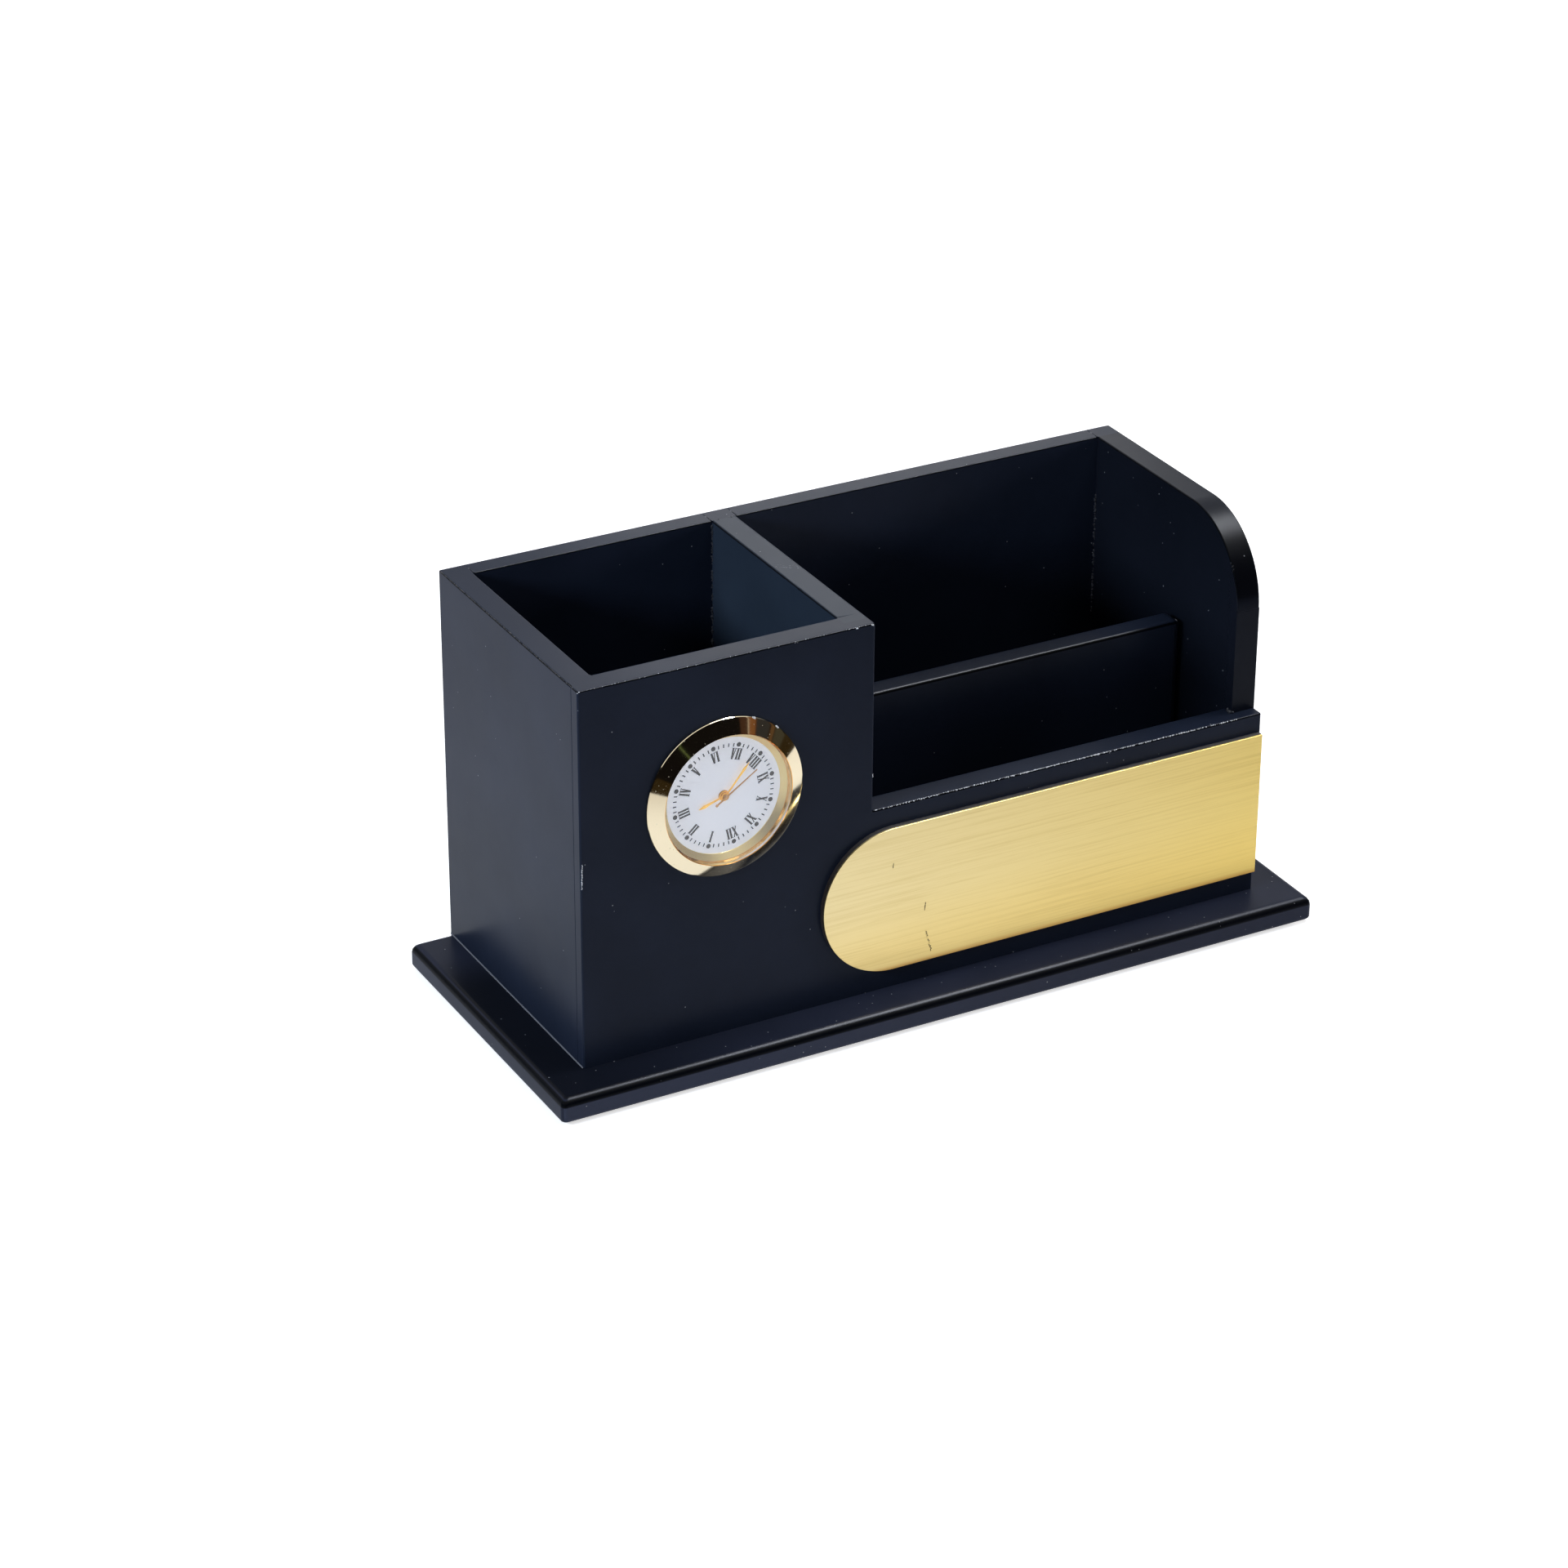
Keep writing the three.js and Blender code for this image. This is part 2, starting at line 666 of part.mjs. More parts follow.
function secondHand() {
  const shape = outline([
    [-secondHandWidth / 2, -secondHandTail], [secondHandWidth / 2, -secondHandTail],
    [secondHandWidth / 4, secondHandLength], [-secondHandWidth / 4, secondHandLength],
  ]);
  const tail = { x: 0, z: -secondHandTail };
  const bore = secondArborRadius + pressGap;
  return sheet(shape, ...secondHandDepth)
    .add(bar(secondArborRadius + capMargin, ...secondHandDepth, arborSegments * 2))
    .add(shifted(bar(secondTailRadius, ...secondHandDepth), tail))
    .subtract(bar(bore, secondHandDepth[0] - overrun, secondHandDepth[1] + overrun));
}

// Front plate of the movement, with the dial seat, the pillars and the stud of the minute wheel
const pillarSpots = pillarAngles.map((angle) => polar(centre, cavityRadius - fitGap - pillarRadius, angle));
const pivot = (solid, spot, depths) => drilled(solid, arborRadius + closeGap, spot, depths);

function frontPlate() {
  const rim = cupInner - fitGap;
  const depths = [motionBack, trainFront];
  const screwHole = plateScrewShankRadius + runningGap;
  let plate = bar(rim, ...depths, discSegments);
  plate = plate.add(tube(rim - dialSeatWidth, rim, dialBack, motionBack, discSegments));
  pillarSpots.forEach((spot) => {
    plate = plate.add(shifted(bar(pillarRadius, motionBack, trainBack), spot));
    plate = plate.subtract(shifted(bar(screwHole, trainBack - plateScrewDepth, trainBack + overrun), spot));
  });
  plate = drilled(plate, pipes.minuteOuter + closeGap, centre, depths);
  [thirdSpot, stepSpot, rotorSpot].forEach((spot) => {
    plate = pivot(plate, spot, depths);
  });
  plate = drilled(plate, settingShaftRadius + closeGap, settingSpot, depths);
  return plate.add(shifted(bar(arborRadius, hourLayer[0], trainFront), minuteSpot));
}

function backPlate() {
  const depths = [trainBack, movementBack];
  let plate = bar(cavityRadius - fitGap, ...depths, discSegments);
  const cellHole = batteryRadius + fitGap + contactThickness + closeGap;
  plate = drilled(plate, cellHole, batterySpot, depths, discSegments);
  pillarSpots.forEach((spot) => {
    plate = drilled(plate, plateScrewShankRadius + runningGap, spot, depths);
  });
  [centre, thirdSpot, stepSpot, rotorSpot].forEach((spot) => {
    plate = pivot(plate, spot, depths);
  });
  return drilled(plate, settingShaftRadius + closeGap, settingSpot, depths);
}

function plateScrew() {
  const headTop = movementBack + plateScrewHeadHeight;
  const slotFloor = movementBack + plateScrewHeadHeight / 2;
  return joined(
    bar(plateScrewHeadRadius, movementBack, headTop),
    bar(plateScrewShankRadius, trainBack - plateScrewDepth + fitGap, slotFloor),
  ).subtract(block(
    [-plateScrewHeadRadius, plateScrewHeadRadius],
    [slotFloor, headTop + overrun],
    [-plateScrewShankRadius / 2, plateScrewShankRadius / 2],
  ));
}

// Centre wheel with the cannon pinion and the pipe that carries the minute hand
function centreWheel() {
  return joined(
    gear(centreWheelTeeth, centreModule, centreLayer, thirdDirection, true),
    bar(pipes.minuteOuter, minuteHandDepth[0], centreLayer[1]),
    gear(cannonTeeth, cannonModule, minuteLayer, minuteDirection),
  ).subtract(bar(pipes.minuteInner, minuteHandDepth[0] - overrun, centreLayer[1] + overrun));
}

function hourWheel() {
  return joined(
    gear(hourWheelTeeth, hourModule, hourLayer, minuteDirection, true),
    bar(pipes.hourOuter, hourHandDepth[0], hourLayer[1]),
  ).subtract(bar(pipes.hourInner, hourHandDepth[0] - overrun, hourLayer[1] + overrun));
}

function minuteWheel() {
  return joined(
    gear(minuteWheelTeeth, cannonModule, minuteLayer, minuteDirection + 180, true),
    gear(minutePinionTeeth, hourModule, [hourLayer[0], minuteLayer[1]], minuteDirection + 180),
  ).subtract(bar(arborRadius + closeGap, hourLayer[0] - overrun, minuteLayer[1] + overrun));
}

function secondWheel() {
  return joined(
    gear(secondWheelTeeth, secondModule, secondLayer, stepDirection, true),
    gear(secondPinionTeeth, thirdModule, [thirdLayer[0], secondLayer[1]], thirdDirection),
    bar(secondArborRadius, secondHandDepth[0], thirdLayer[1]),
    bar(arborRadius, thirdLayer[1], movementBack),
  );
}

function thirdWheel() {
  return joined(
    gear(thirdWheelTeeth, thirdModule, thirdLayer, thirdDirection + 180, true),
    gear(thirdPinionTeeth, centreModule, [centreLayer[0], thirdLayer[1]], thirdDirection + 180),
    bar(arborRadius, motionBack, movementBack),
  );
}

function stepWheel() {
  return joined(
    gear(stepWheelTeeth, stepModule, stepLayer, rotorDirection, true),
    gear(stepPinionTeeth, secondModule, [secondLayer[0], stepLayer[1]], stepDirection + 180),
    bar(arborRadius, motionBack, movementBack),
  );
}

function rotor() {
  const magnetFront = trainFront + closeGap;
  return joined(
    gear(rotorTeeth, stepModule, [magnetFront + rotorMagnetHeight, stepLayer[1]], rotorDirection + 180),
    bar(rotorMagnetRadius, magnetFront, magnetFront + rotorMagnetHeight),
    bar(arborRadius, motionBack, movementBack),
  );
}

function settingKnob() {
  const knobFront = cupDepth + fitGap;
  const points = [];
  for (let i = 0; i < knobRidges * 2; i += 1) {
    const angle = (Math.PI * i) / knobRidges;
    const radius = knobRadius * (i % 2 ? knobRidgeShare : 1);
    points.push([radius * Math.cos(angle), radius * Math.sin(angle)]);
  }
  return joined(
    gear(settingTeeth, cannonModule, minuteLayer, settingDirection + 180),
    bar(settingShaftRadius, minuteLayer[0], knobFront + knobHeight / 2),
    sheet(outline(points), knobFront, knobFront + knobHeight),
  );
}

// Coil along X under the train, on a core whose two ends stand on the stator
const statorDepths = [trainFront + runningGap, trainFront + runningGap + statorThickness];
const coilDepth = trainFront + trainHeight / 2;
const coilSpot = {
  x: rotorSpot.x + coilLength * coilShiftShare,
  z: coilRadius + fitGap - cavityRadius * coilPlaceShare,
};
const coreEnds = [-1, 1].map((side) => coilSpot.x + side * (coilLength / 2 + fitGap + coilEndLength / 2));

function alongX(radiusPoints) {
  const profile = radiusPoints.map(([radius, along]) => new THREE.Vector2(radius, along));
  const geometry = new THREE.LatheGeometry(profile, arborSegments * 2).rotateZ(-Math.PI / 2);
  return toSolid(geometry).translate([coilSpot.x, coilDepth, coilSpot.z]);
}

function coil() {
  const half = coilLength / 2;
  const winding = coilRadius - coilCheekLift;
  const bore = Math.hypot(coilCoreWidth, coilCoreThickness) / 2 + closeGap;
  return alongX([
    [bore, -half], [coilRadius, -half], [coilRadius, coilCheekThickness - half],
    [winding, coilCheekThickness - half], [winding, half - coilCheekThickness],
    [coilRadius, half - coilCheekThickness], [coilRadius, half], [bore, half], [bore, -half],
  ]);
}

function coilCore() {
  const [left, right] = coreEnds;
  const width = [coilSpot.z - coilCoreWidth / 2, coilSpot.z + coilCoreWidth / 2];
  const thickness = [coilDepth - coilCoreThickness / 2, coilDepth + coilCoreThickness / 2];
  const foot = (x) =>
    block([x - coilEndLength / 2, x + coilEndLength / 2], [statorDepths[1], thickness[1]], width);
  return joined(block([left, right], thickness, width), foot(left), foot(right));
}

// Stator: a flat bar round the rotor with a foot under each end of the core
function stator() {
  const web = rotorMagnetRadius + fitGap + coilEndLength;
  const margin = coilEndLength / 2 + closeGap;
  const [left, right] = coreEnds;
  const low = coilSpot.z - coilCoreWidth / 2 - closeGap;
  const notch = coilSpot.z + coilRadius + closeGap;
  const top = rotorSpot.z + web;
  const shape = outline([
    [left - margin, low], [left + margin, low], [left + margin, notch], [right - margin, notch],
    [right - margin, low], [right + margin, low], [right + margin, notch + coilEndLength],
    [rotorSpot.x + web, notch + coilEndLength], [rotorSpot.x + web, rotorSpot.z],
    [rotorSpot.x + web / 2, top], [rotorSpot.x - web / 2, top], [rotorSpot.x - web, rotorSpot.z],
    [rotorSpot.x - web, notch],
  ]);
  return drilled(sheet(shape, ...statorDepths), rotorMagnetRadius + fitGap, rotorSpot, statorDepths);
}

// Circuit board in a sector beside the cell, with the crystal and the chip on it
const boardDepths = [trainFront + closeGap, trainFront + closeGap + boardSheet];
const boardInner = centreWheelTip + fitGap * 2;
const boardOuter = cavityRadius - fitGap;

function circuitBoard() {
  const shape = new THREE.Shape();
  shape.absarc(0, 0, boardOuter, radians(boardStart), radians(boardEnd), false);
  shape.absarc(0, 0, boardInner, radians(boardEnd), radians(boardStart), true);
  return sheet(shape, ...boardDepths);
}

function crystal() {
  const spot = polar(centre, boardOuter - crystalRadius - fitGap * 2, (boardStart + boardEnd) / 2);
  const angle = (boardStart + boardEnd) / 2 + 90;
  const geometry = new THREE.CylinderGeometry(crystalRadius, crystalRadius, crystalLength, arborSegments);
  geometry.rotateZ(-Math.PI / 2).rotateY(-radians(angle));
  const depth = boardDepths[1] + crystalRadius + closeGap;
  return toSolid(geometry).translate([spot.x, depth, spot.z]);
}

function chip() {
  const direction = boardStart + (boardEnd - boardStart) * chipPlaceShare;
  const spot = polar(centre, boardInner + chipWidth, direction);
  return shifted(block(
    [-chipWidth / 2, chipWidth / 2],
    [boardDepths[1], boardDepths[1] + chipHeight],
    [-chipWidth / 2, chipWidth / 2],
  ), spot);
}

// Button cell with its smaller cap towards the dial
const batteryBack = cupFloor - closeGap;
const batteryFront = batteryBack - batteryHeight;

function battery() {
  const shoulder = batteryFront + batteryCapHeight;
  return turned([
    [0, batteryFront], [batteryCapRadius, batteryFront], [batteryCapRadius, shoulder],
    [batteryRadius, shoulder], [batteryRadius, batteryBack], [0, batteryBack],
  ], discSegments);
}

// Strip from the board to the cap of the cell
function capContact() {
  const reach = batteryCapRadius / 2;
  const end = boardInner * Math.cos(radians(boardEnd)) + capContactTail;
  const depths = [boardDepths[1], boardDepths[1] + contactThickness];
  const half = contactWidth / 2;
  return block([batterySpot.x - reach, end], depths, [batterySpot.z - half, batterySpot.z + half]);
}

// Curved strip that stands beside the can of the cell
function wallContact() {
  const inner = batteryRadius + fitGap;
  const shape = new THREE.Shape();
  const [start, end] = [wallContactStart, wallContactEnd].map((turn) => radians(batteryDirection + turn));
  shape.absarc(batterySpot.x, batterySpot.z, inner + contactThickness, start, end, false);
  shape.absarc(batterySpot.x, batterySpot.z, inner, end, start, true);
  return sheet(shape, trainFront, trainFront + contactHeight);
}

// Cover of the cell, turned with a coin
function batteryCover() {
  const back = cupDepth;
  const half = (batteryRadius * coinSlotShare) / 2;
  const plug = batteryRadius;
  const flange = batteryRadius + coverLip;
  const disc = turned([
    [0, cupFloor + closeGap], [plug, cupFloor + closeGap], [plug, back - coverFlange],
    [flange, back - coverFlange], [flange, back], [0, back],
  ], discSegments);
  return disc.subtract(block(
    [-half, half],
    [back - coinSlotDepth, back + overrun],
    [-coinSlotWidth / 2, coinSlotWidth / 2],
  ));
}

// Assembly
const penHolderClock = new THREE.Group();
const box = new THREE.Group();
box.position.set(
  -bodyWidth / 2,
  (baseFrontOverhang - bodyDepth - baseBackOverhang) / 2,
  baseThickness + feltThickness,
);
penHolderClock.add(box);

const fullHeight = [0, bodyHeight];
const plateFace = plateBacking + plateSkin;
place(box, 'base_board', baseBoard(), wood);
place(box, 'base_felt', feltSheet(), felt);
place(box, 'front_board', frontBoard(), wood);
place(box, 'back_board', block([0, bodyWidth], [backFace, bodyDepth], fullHeight), wood);
place(box, 'left_side', sideBoard(0, 0), wood);
place(box, 'right_side', sideBoard(rightInner, rightCornerRadius), wood);
place(box, 'pen_divider', block([dividerLeft, highFrontWidth], [sideFront, backFace], fullHeight), wood);
place(box, 'slot_partition', slotPartition(), wood);
place(box, 'plate_backing', sheet(plateOutline(), -plateBacking, 0, curveSegments * 2), blackBacking);
place(box, 'name_plate', sheet(plateOutline(), -plateFace, -plateBacking, curveSegments * 2), gold);
screwSpots().forEach((spot, index) => {
  const screw = screwForm(0, screwLength);
  place(box, `base_screw_${index + 1}`, screw, steel).position.set(spot.x, spot.y, 0);
});

const clock = new THREE.Group();
clock.position.set(clockFromLeft, 0, clockHeight);
box.add(clock);

const at = (spot, mesh) => mesh.position.set(spot.x, 0, spot.z);
place(clock, 'grip_band', gripBand(), rubber);
place(clock, 'bezel', bezel(), gold);
place(clock, 'lens', lens(), glass);
place(clock, 'dial_ring', dialRing(), gold);
place(clock, 'dial', dial(), ivory);
place(clock, 'clock_cup', cup(), blackPlastic);
place(clock, 'front_plate', frontPlate(), whitePlastic);
place(clock, 'back_plate', backPlate(), whitePlastic);
place(clock, 'stator', stator(), steel);
place(clock, 'coil', coil(), copper);
place(clock, 'coil_core', coilCore(), steel);
place(clock, 'circuit_board', circuitBoard(), greenBoard);
place(clock, 'quartz_crystal', crystal(), steel);
place(clock, 'timing_chip', chip(), blackPlastic);
place(clock, 'cap_contact', capContact(), brass);
place(clock, 'wall_contact', wallContact(), brass);
pillarSpots.forEach((spot, index) => {
  at(spot, place(clock, `plate_screw_${index + 1}`, plateScrew(), steel));
});
at(batterySpot, place(clock, 'button_cell', battery(), steel));
at(batterySpot, place(clock, 'battery_cover', batteryCover(), blackPlastic));

const hourBore = pipes.hourOuter + pressGap;
const minuteBore = pipes.minuteOuter + pressGap;
const hourHub = hourBore + handHubMargin;
const minuteHub = minuteBore + handHubMargin;
const hourHand = leafHand(hourHandLength, hourHandStem, hourHandWidth, hourHub, hourBore, hourHandDepth);
const minuteHand = leafHand(
  minuteHandLength, minuteHandStem, minuteHandWidth, minuteHub, minuteBore, minuteHandDepth,
);
place(clock, 'hour_hand', turnedTo(hourHand, hourAngle), gold);
place(clock, 'minute_hand', turnedTo(minuteHand, minuteAngle), gold);
place(clock, 'second_hand', turnedTo(secondHand(), secondAngle), copper);
place(clock, 'hour_wheel', hourWheel(), brass);
place(clock, 'centre_wheel', centreWheel(), brass);
place(clock, 'second_wheel', secondWheel(), brass);
at(minuteSpot, place(clock, 'minute_wheel', minuteWheel(), whitePlastic));
at(thirdSpot, place(clock, 'third_wheel', thirdWheel(), whitePlastic));
at(stepSpot, place(clock, 'step_wheel', stepWheel(), whitePlastic));
at(rotorSpot, place(clock, 'rotor', rotor(), magnet));
at(settingSpot, place(clock, 'setting_knob', settingKnob(), blackPlastic));

export default penHolderClock;
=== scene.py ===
# Pen holder clock: its looks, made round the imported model. Metres, +Z up, front towards -Y.
import math
import random

import bmesh
import bpy
from mathutils import Matrix, Quaternion, Vector
from mathutils.bvhtree import BVHTree


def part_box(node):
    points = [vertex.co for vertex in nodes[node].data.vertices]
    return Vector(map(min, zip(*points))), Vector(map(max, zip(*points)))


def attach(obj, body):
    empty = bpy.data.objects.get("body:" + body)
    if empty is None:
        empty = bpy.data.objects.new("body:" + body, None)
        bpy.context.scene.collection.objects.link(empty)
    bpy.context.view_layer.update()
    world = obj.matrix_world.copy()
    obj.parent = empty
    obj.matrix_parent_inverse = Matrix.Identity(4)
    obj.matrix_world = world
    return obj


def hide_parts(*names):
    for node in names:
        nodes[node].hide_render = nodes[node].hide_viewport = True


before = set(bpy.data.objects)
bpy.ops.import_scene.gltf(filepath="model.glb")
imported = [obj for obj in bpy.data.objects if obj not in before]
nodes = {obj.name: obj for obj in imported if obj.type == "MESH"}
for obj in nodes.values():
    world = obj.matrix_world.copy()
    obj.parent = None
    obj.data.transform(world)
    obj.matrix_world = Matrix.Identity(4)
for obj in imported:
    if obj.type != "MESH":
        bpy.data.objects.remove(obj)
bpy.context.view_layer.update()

scene = bpy.context.scene
mm = 0.001
print("frame loaded,", len(nodes), "nodes")


def place(x, y, z):
    return Vector((x, y, z)) * mm


def paint(red, green, blue):
    # a colour as it is read off a screen, 0 to 255, made linear
    shares = [value / 255 for value in (red, green, blue)]
    linear = [s / 12.92 if s <= 0.04045 else ((s + 0.055) / 1.055) ** 2.4 for s in shares]
    return (*linear, 1.0)


# Places that other pieces are set out from
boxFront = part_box("front_board")[0].y
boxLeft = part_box("left_side")[0].x
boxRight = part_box("right_side")[1].x
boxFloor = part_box("base_board")[1].z
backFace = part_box("back_board")[0].y
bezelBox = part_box("bezel")
clockCentre = Vector(((bezelBox[0].x + bezelBox[1].x) / 2, boxFront, (bezelBox[0].z + bezelBox[1].z) / 2))


class Wire:
    # a node's output that takes part in sums
    def __init__(self, graph, socket):
        self.graph = graph
        self.socket = socket

    def __add__(self, other):
        return self.graph.maths("ADD", self, other)

    def __radd__(self, other):
        return self.graph.maths("ADD", other, self)

    def __sub__(self, other):
        return self.graph.maths("SUBTRACT", self, other)

    def __rsub__(self, other):
        return self.graph.maths("SUBTRACT", other, self)

    def __mul__(self, other):
        return self.graph.maths("MULTIPLY", self, other)

    def __rmul__(self, other):
        return self.graph.maths("MULTIPLY", other, self)

    def below(self, limit, blur):
        # 1 under the limit, 0 over it, soft across the blur
        return self.graph.add("ShaderNodeMapRange", {"interpolation_type": "SMOOTHSTEP"}, {
            "Value": self, "From Min": limit - blur, "From Max": limit + blur, "To Min": 1.0, "To Max": 0.0,
        })


class Graph:
    # adds nodes to a shader tree or a geometry tree
    def __init__(self, tree):
        self.tree = tree

    def add(self, kind, settings=None, sockets=None, output=0):
        node = self.tree.nodes.new(kind)
        for key, value in (settings or {}).items():
            setattr(node, key, value)
        for key, value in (sockets or {}).items():
            if isinstance(value, Wire):
                self.tree.links.new(value.socket, node.inputs[key])
            else:
                node.inputs[key].default_value = value
        outlet = node.outputs[output] if len(node.outputs) else None
        return Wire(self, outlet)

    def maths(self, operation, *values):
        return self.add("ShaderNodeMath", {"operation": operation}, dict(enumerate(values)))

    def blend(self, share, first, second):
        # a colour between two
        return self.add("ShaderNodeMix", {"data_type": "RGBA"}, {0: share, 6: first, 7: second}, 2)

    def axis(self, vector, name):
        # a vector's X, Y or Z
        return self.add("ShaderNodeSeparateXYZ", {}, {"Vector": vector}, name)


class Look(Graph):
    # a material: constants go straight on the shader, what varies is linked by feed
    def __init__(self, name, **finish):
        self.material = bpy.data.materials.new(name)
        self.material.use_nodes = True
        super().__init__(self.material.node_tree)
        self.tree.nodes.clear()
        sockets = {key.replace("_", " "): value for key, value in finish.items()}
        self.shader = self.add("ShaderNodeBsdfPrincipled", {}, sockets)
        self.surface = self.tree.nodes.new("ShaderNodeOutputMaterial").inputs["Surface"]
        self.tree.links.new(self.shader.socket, self.surface)

    def swap(self, shader):
        # puts another shader in the first one's place
        self.tree.links.new(shader.socket, self.surface)
        self.tree.nodes.remove(self.shader.socket.node)

    def feed(self, **wires):
        node = self.shader.socket.node
        for key, wire in wires.items():
            self.tree.links.new(wire.socket, node.inputs[key.replace("_", " ")])

    def spot(self, offset=(0.0, 0.0, 0.0), stretch=(1.0, 1.0, 1.0)):
        # the place on the piece in metres, moved and stretched
        coordinates = self.add("ShaderNodeTexCoord", {}, {}, "Object")
        sockets = {"Vector": coordinates, "Location": offset, "Scale": stretch}
        return self.add("ShaderNodeMapping", {}, sockets)

    def noise(self, size, spot, detail=3.0, roughness=0.5):
        # 0 to 1 cloud whose blotches are about this wide
        sockets = {"Vector": spot, "Scale": 1 / size, "Detail": detail, "Roughness": roughness}
        return self.add("ShaderNodeTexNoise", {}, sockets, 0)

    def specks(self, spacing, radius, spot, kept, softShare=0.4, pickBlur=0.01):
        # round specks, one at most in each cell, on a share of the cells
        cells = {"Vector": spot, "Scale": 1 / spacing}
        near = self.add("ShaderNodeTexVoronoi", {}, cells, "Distance")
        tone = self.add("ShaderNodeTexVoronoi", {}, cells, "Color")
        pick = self.add("ShaderNodeSeparateColor", {}, {"Color": tone}, 0)
        size = radius / spacing
        return near.below(size, size * softShare) * pick.below(kept, pickBlur)

    def bump(self, height, strength, depth):
        self.feed(Normal=self.add("ShaderNodeBump", {}, {
            "Height": height, "Strength": strength, "Distance": depth,
        }))


# Materials

lacquerSizes = {
    "offset": (0.0, 0.0, 0.0),
    "sheen": paint(150, 180, 240),
    "sheenWeight": 0.03,
    "index": 1.15,
    "dust": paint(150, 152, 156),
    "dustSpacing": 3.4 * mm,
    "dustShare": 0.36,
    "dustRadius": 0.13 * mm,
    "dustCover": 0.8,
    "dustRoughness": 0.3,
    "dustHeight": 2.0,
    "cloud": 22 * mm,
    "smear": 22 * mm / 3,
    "roughness": 0.32,
    "roughnessSpread": 0.1,
    "peel": 1.1 * mm,
    "peelDepth": 0.004 * mm,
    "peelStrength": 0.6,
}
lacquerTones = {
    "box": {"deep": paint(18, 23, 34), "thin": paint(30, 36, 51)},
    # The base's tones are paler and warmer than the box's: partly painted light, for the light the floor
    # throws on it. Its dust is denser.
    "base": {"deep": paint(25, 28, 39), "thin": paint(41, 44, 59), "dustSpacing": 2.0 * mm, "dustShare": 0.5,
             "offset": (70 * mm, 30 * mm, 10 * mm)},
    # painted shade: the right side's tones are darker, for the shade inside the slots
    "side": {"deep": paint(11, 13, 19), "thin": paint(20, 23, 32)},
    # painted light: the divider's tones are paler, for the light that falls into the pen bay
    "divider": {"deep": paint(25, 32, 41), "thin": paint(39, 47, 59)},
}
# painted shade on faces that slant between level and upright
slantPaintedShade = {"colour": paint(2, 3, 6), "least": 0.14, "most": 0.8, "blur": 0.06}
# painted reflection: the base's front face made paler, as it would mirror the bright floor
paintedFrontReflection = {"colour": paint(58, 62, 78), "depth": 0.3 * mm, "drop": 1.9 * mm, "blur": 0.1 * mm,
              "fade": 90 * mm, "fadeShare": 0.7, "cover": 0.8}
# painted shade on the left of the base's top, fading out towards its back
leftPaintedShade = {"colour": paint(5, 6, 10), "level": 0.9, "levelBlur": 0.05, "reach": 30 * mm,
             "reachBlur": 45 * mm, "inset": 12 * mm, "insetBlur": 9 * mm, "cover": 0.9}


def baseTones(look, colour, upward):
    # painted reflection: a paler strip low on the base's front face, where it would mirror the floor; and
    # painted shade at the left of its top
    reflectedStrip, shade = paintedFrontReflection, leftPaintedShade
    spot = look.spot()
    along, across, up = [look.axis(spot, name) for name in "XYZ"]
    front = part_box("base_board")[0].y
    face = across.below(front + reflectedStrip["depth"], reflectedStrip["blur"])
    edge = face * up.below(boxFloor - reflectedStrip["drop"], reflectedStrip["blur"])
    fading = 1 - (1 - along.below(0.0, reflectedStrip["fade"])) * reflectedStrip["fadeShare"]
    colour = look.blend(edge * fading * reflectedStrip["cover"], colour, reflectedStrip["colour"])
    level = 1 - upward.below(shade["level"], shade["levelBlur"])
    left = level * along.below(boxLeft + shade["reach"], shade["reachBlur"])
    shaded = left * across.below(backFace - shade["inset"], shade["insetBlur"])
    return look.blend(shaded * shade["cover"], colour, shade["colour"])


def lacquerLook(name, tones):
    # satin paint, cloudy and dusty, with painted shade on the slant of each arris and curve, where it would
    # mirror dark surroundings
    s = {**lacquerSizes, **lacquerTones[tones]}
    look = Look(name, IOR=s["index"], Sheen_Weight=s["sheenWeight"], Sheen_Tint=s["sheen"])
    spot = look.spot(s["offset"])
    dust = look.specks(s["dustSpacing"], s["dustRadius"], spot, s["dustShare"])
    colour = look.blend(look.noise(s["cloud"], spot), s["deep"], s["thin"])
    upward = look.axis(look.add("ShaderNodeTexCoord", {}, {}, "Normal"), "Z")
    under, over = [upward.below(slantPaintedShade[limit], slantPaintedShade["blur"]) for limit in ("most", "least")]
    colour = look.blend(under * (1 - over), colour, slantPaintedShade["colour"])
    if tones == "base":
        colour = baseTones(look, colour, upward)
    look.feed(Base_Color=look.blend(dust * s["dustCover"], colour, s["dust"]))
    smear = look.noise(s["smear"], spot, detail=4.0, roughness=0.6)
    look.feed(Roughness=s["roughness"] + s["roughnessSpread"] * (smear - 0.5) + dust * s["dustRoughness"])
    peel = look.noise(s["peel"], spot, detail=2.0)
    look.bump(peel + dust * s["dustHeight"], s["peelStrength"], s["peelDepth"])
    return look


goldSizes = {
    "pit": paint(196, 184, 160),
    "pitSpacing": 0.7 * mm,
    "pitRadius": 0.08 * mm,
    "pitRoughness": 0.5,
    "grain": 0.5 * mm,
    "grainShare": 0.4,
    "grainDepth": 0.001 * mm,
    "grainStrength": 0.1,
    "inner": paint(232, 178, 108),
    "innerBlur": 0.1 * mm,
}


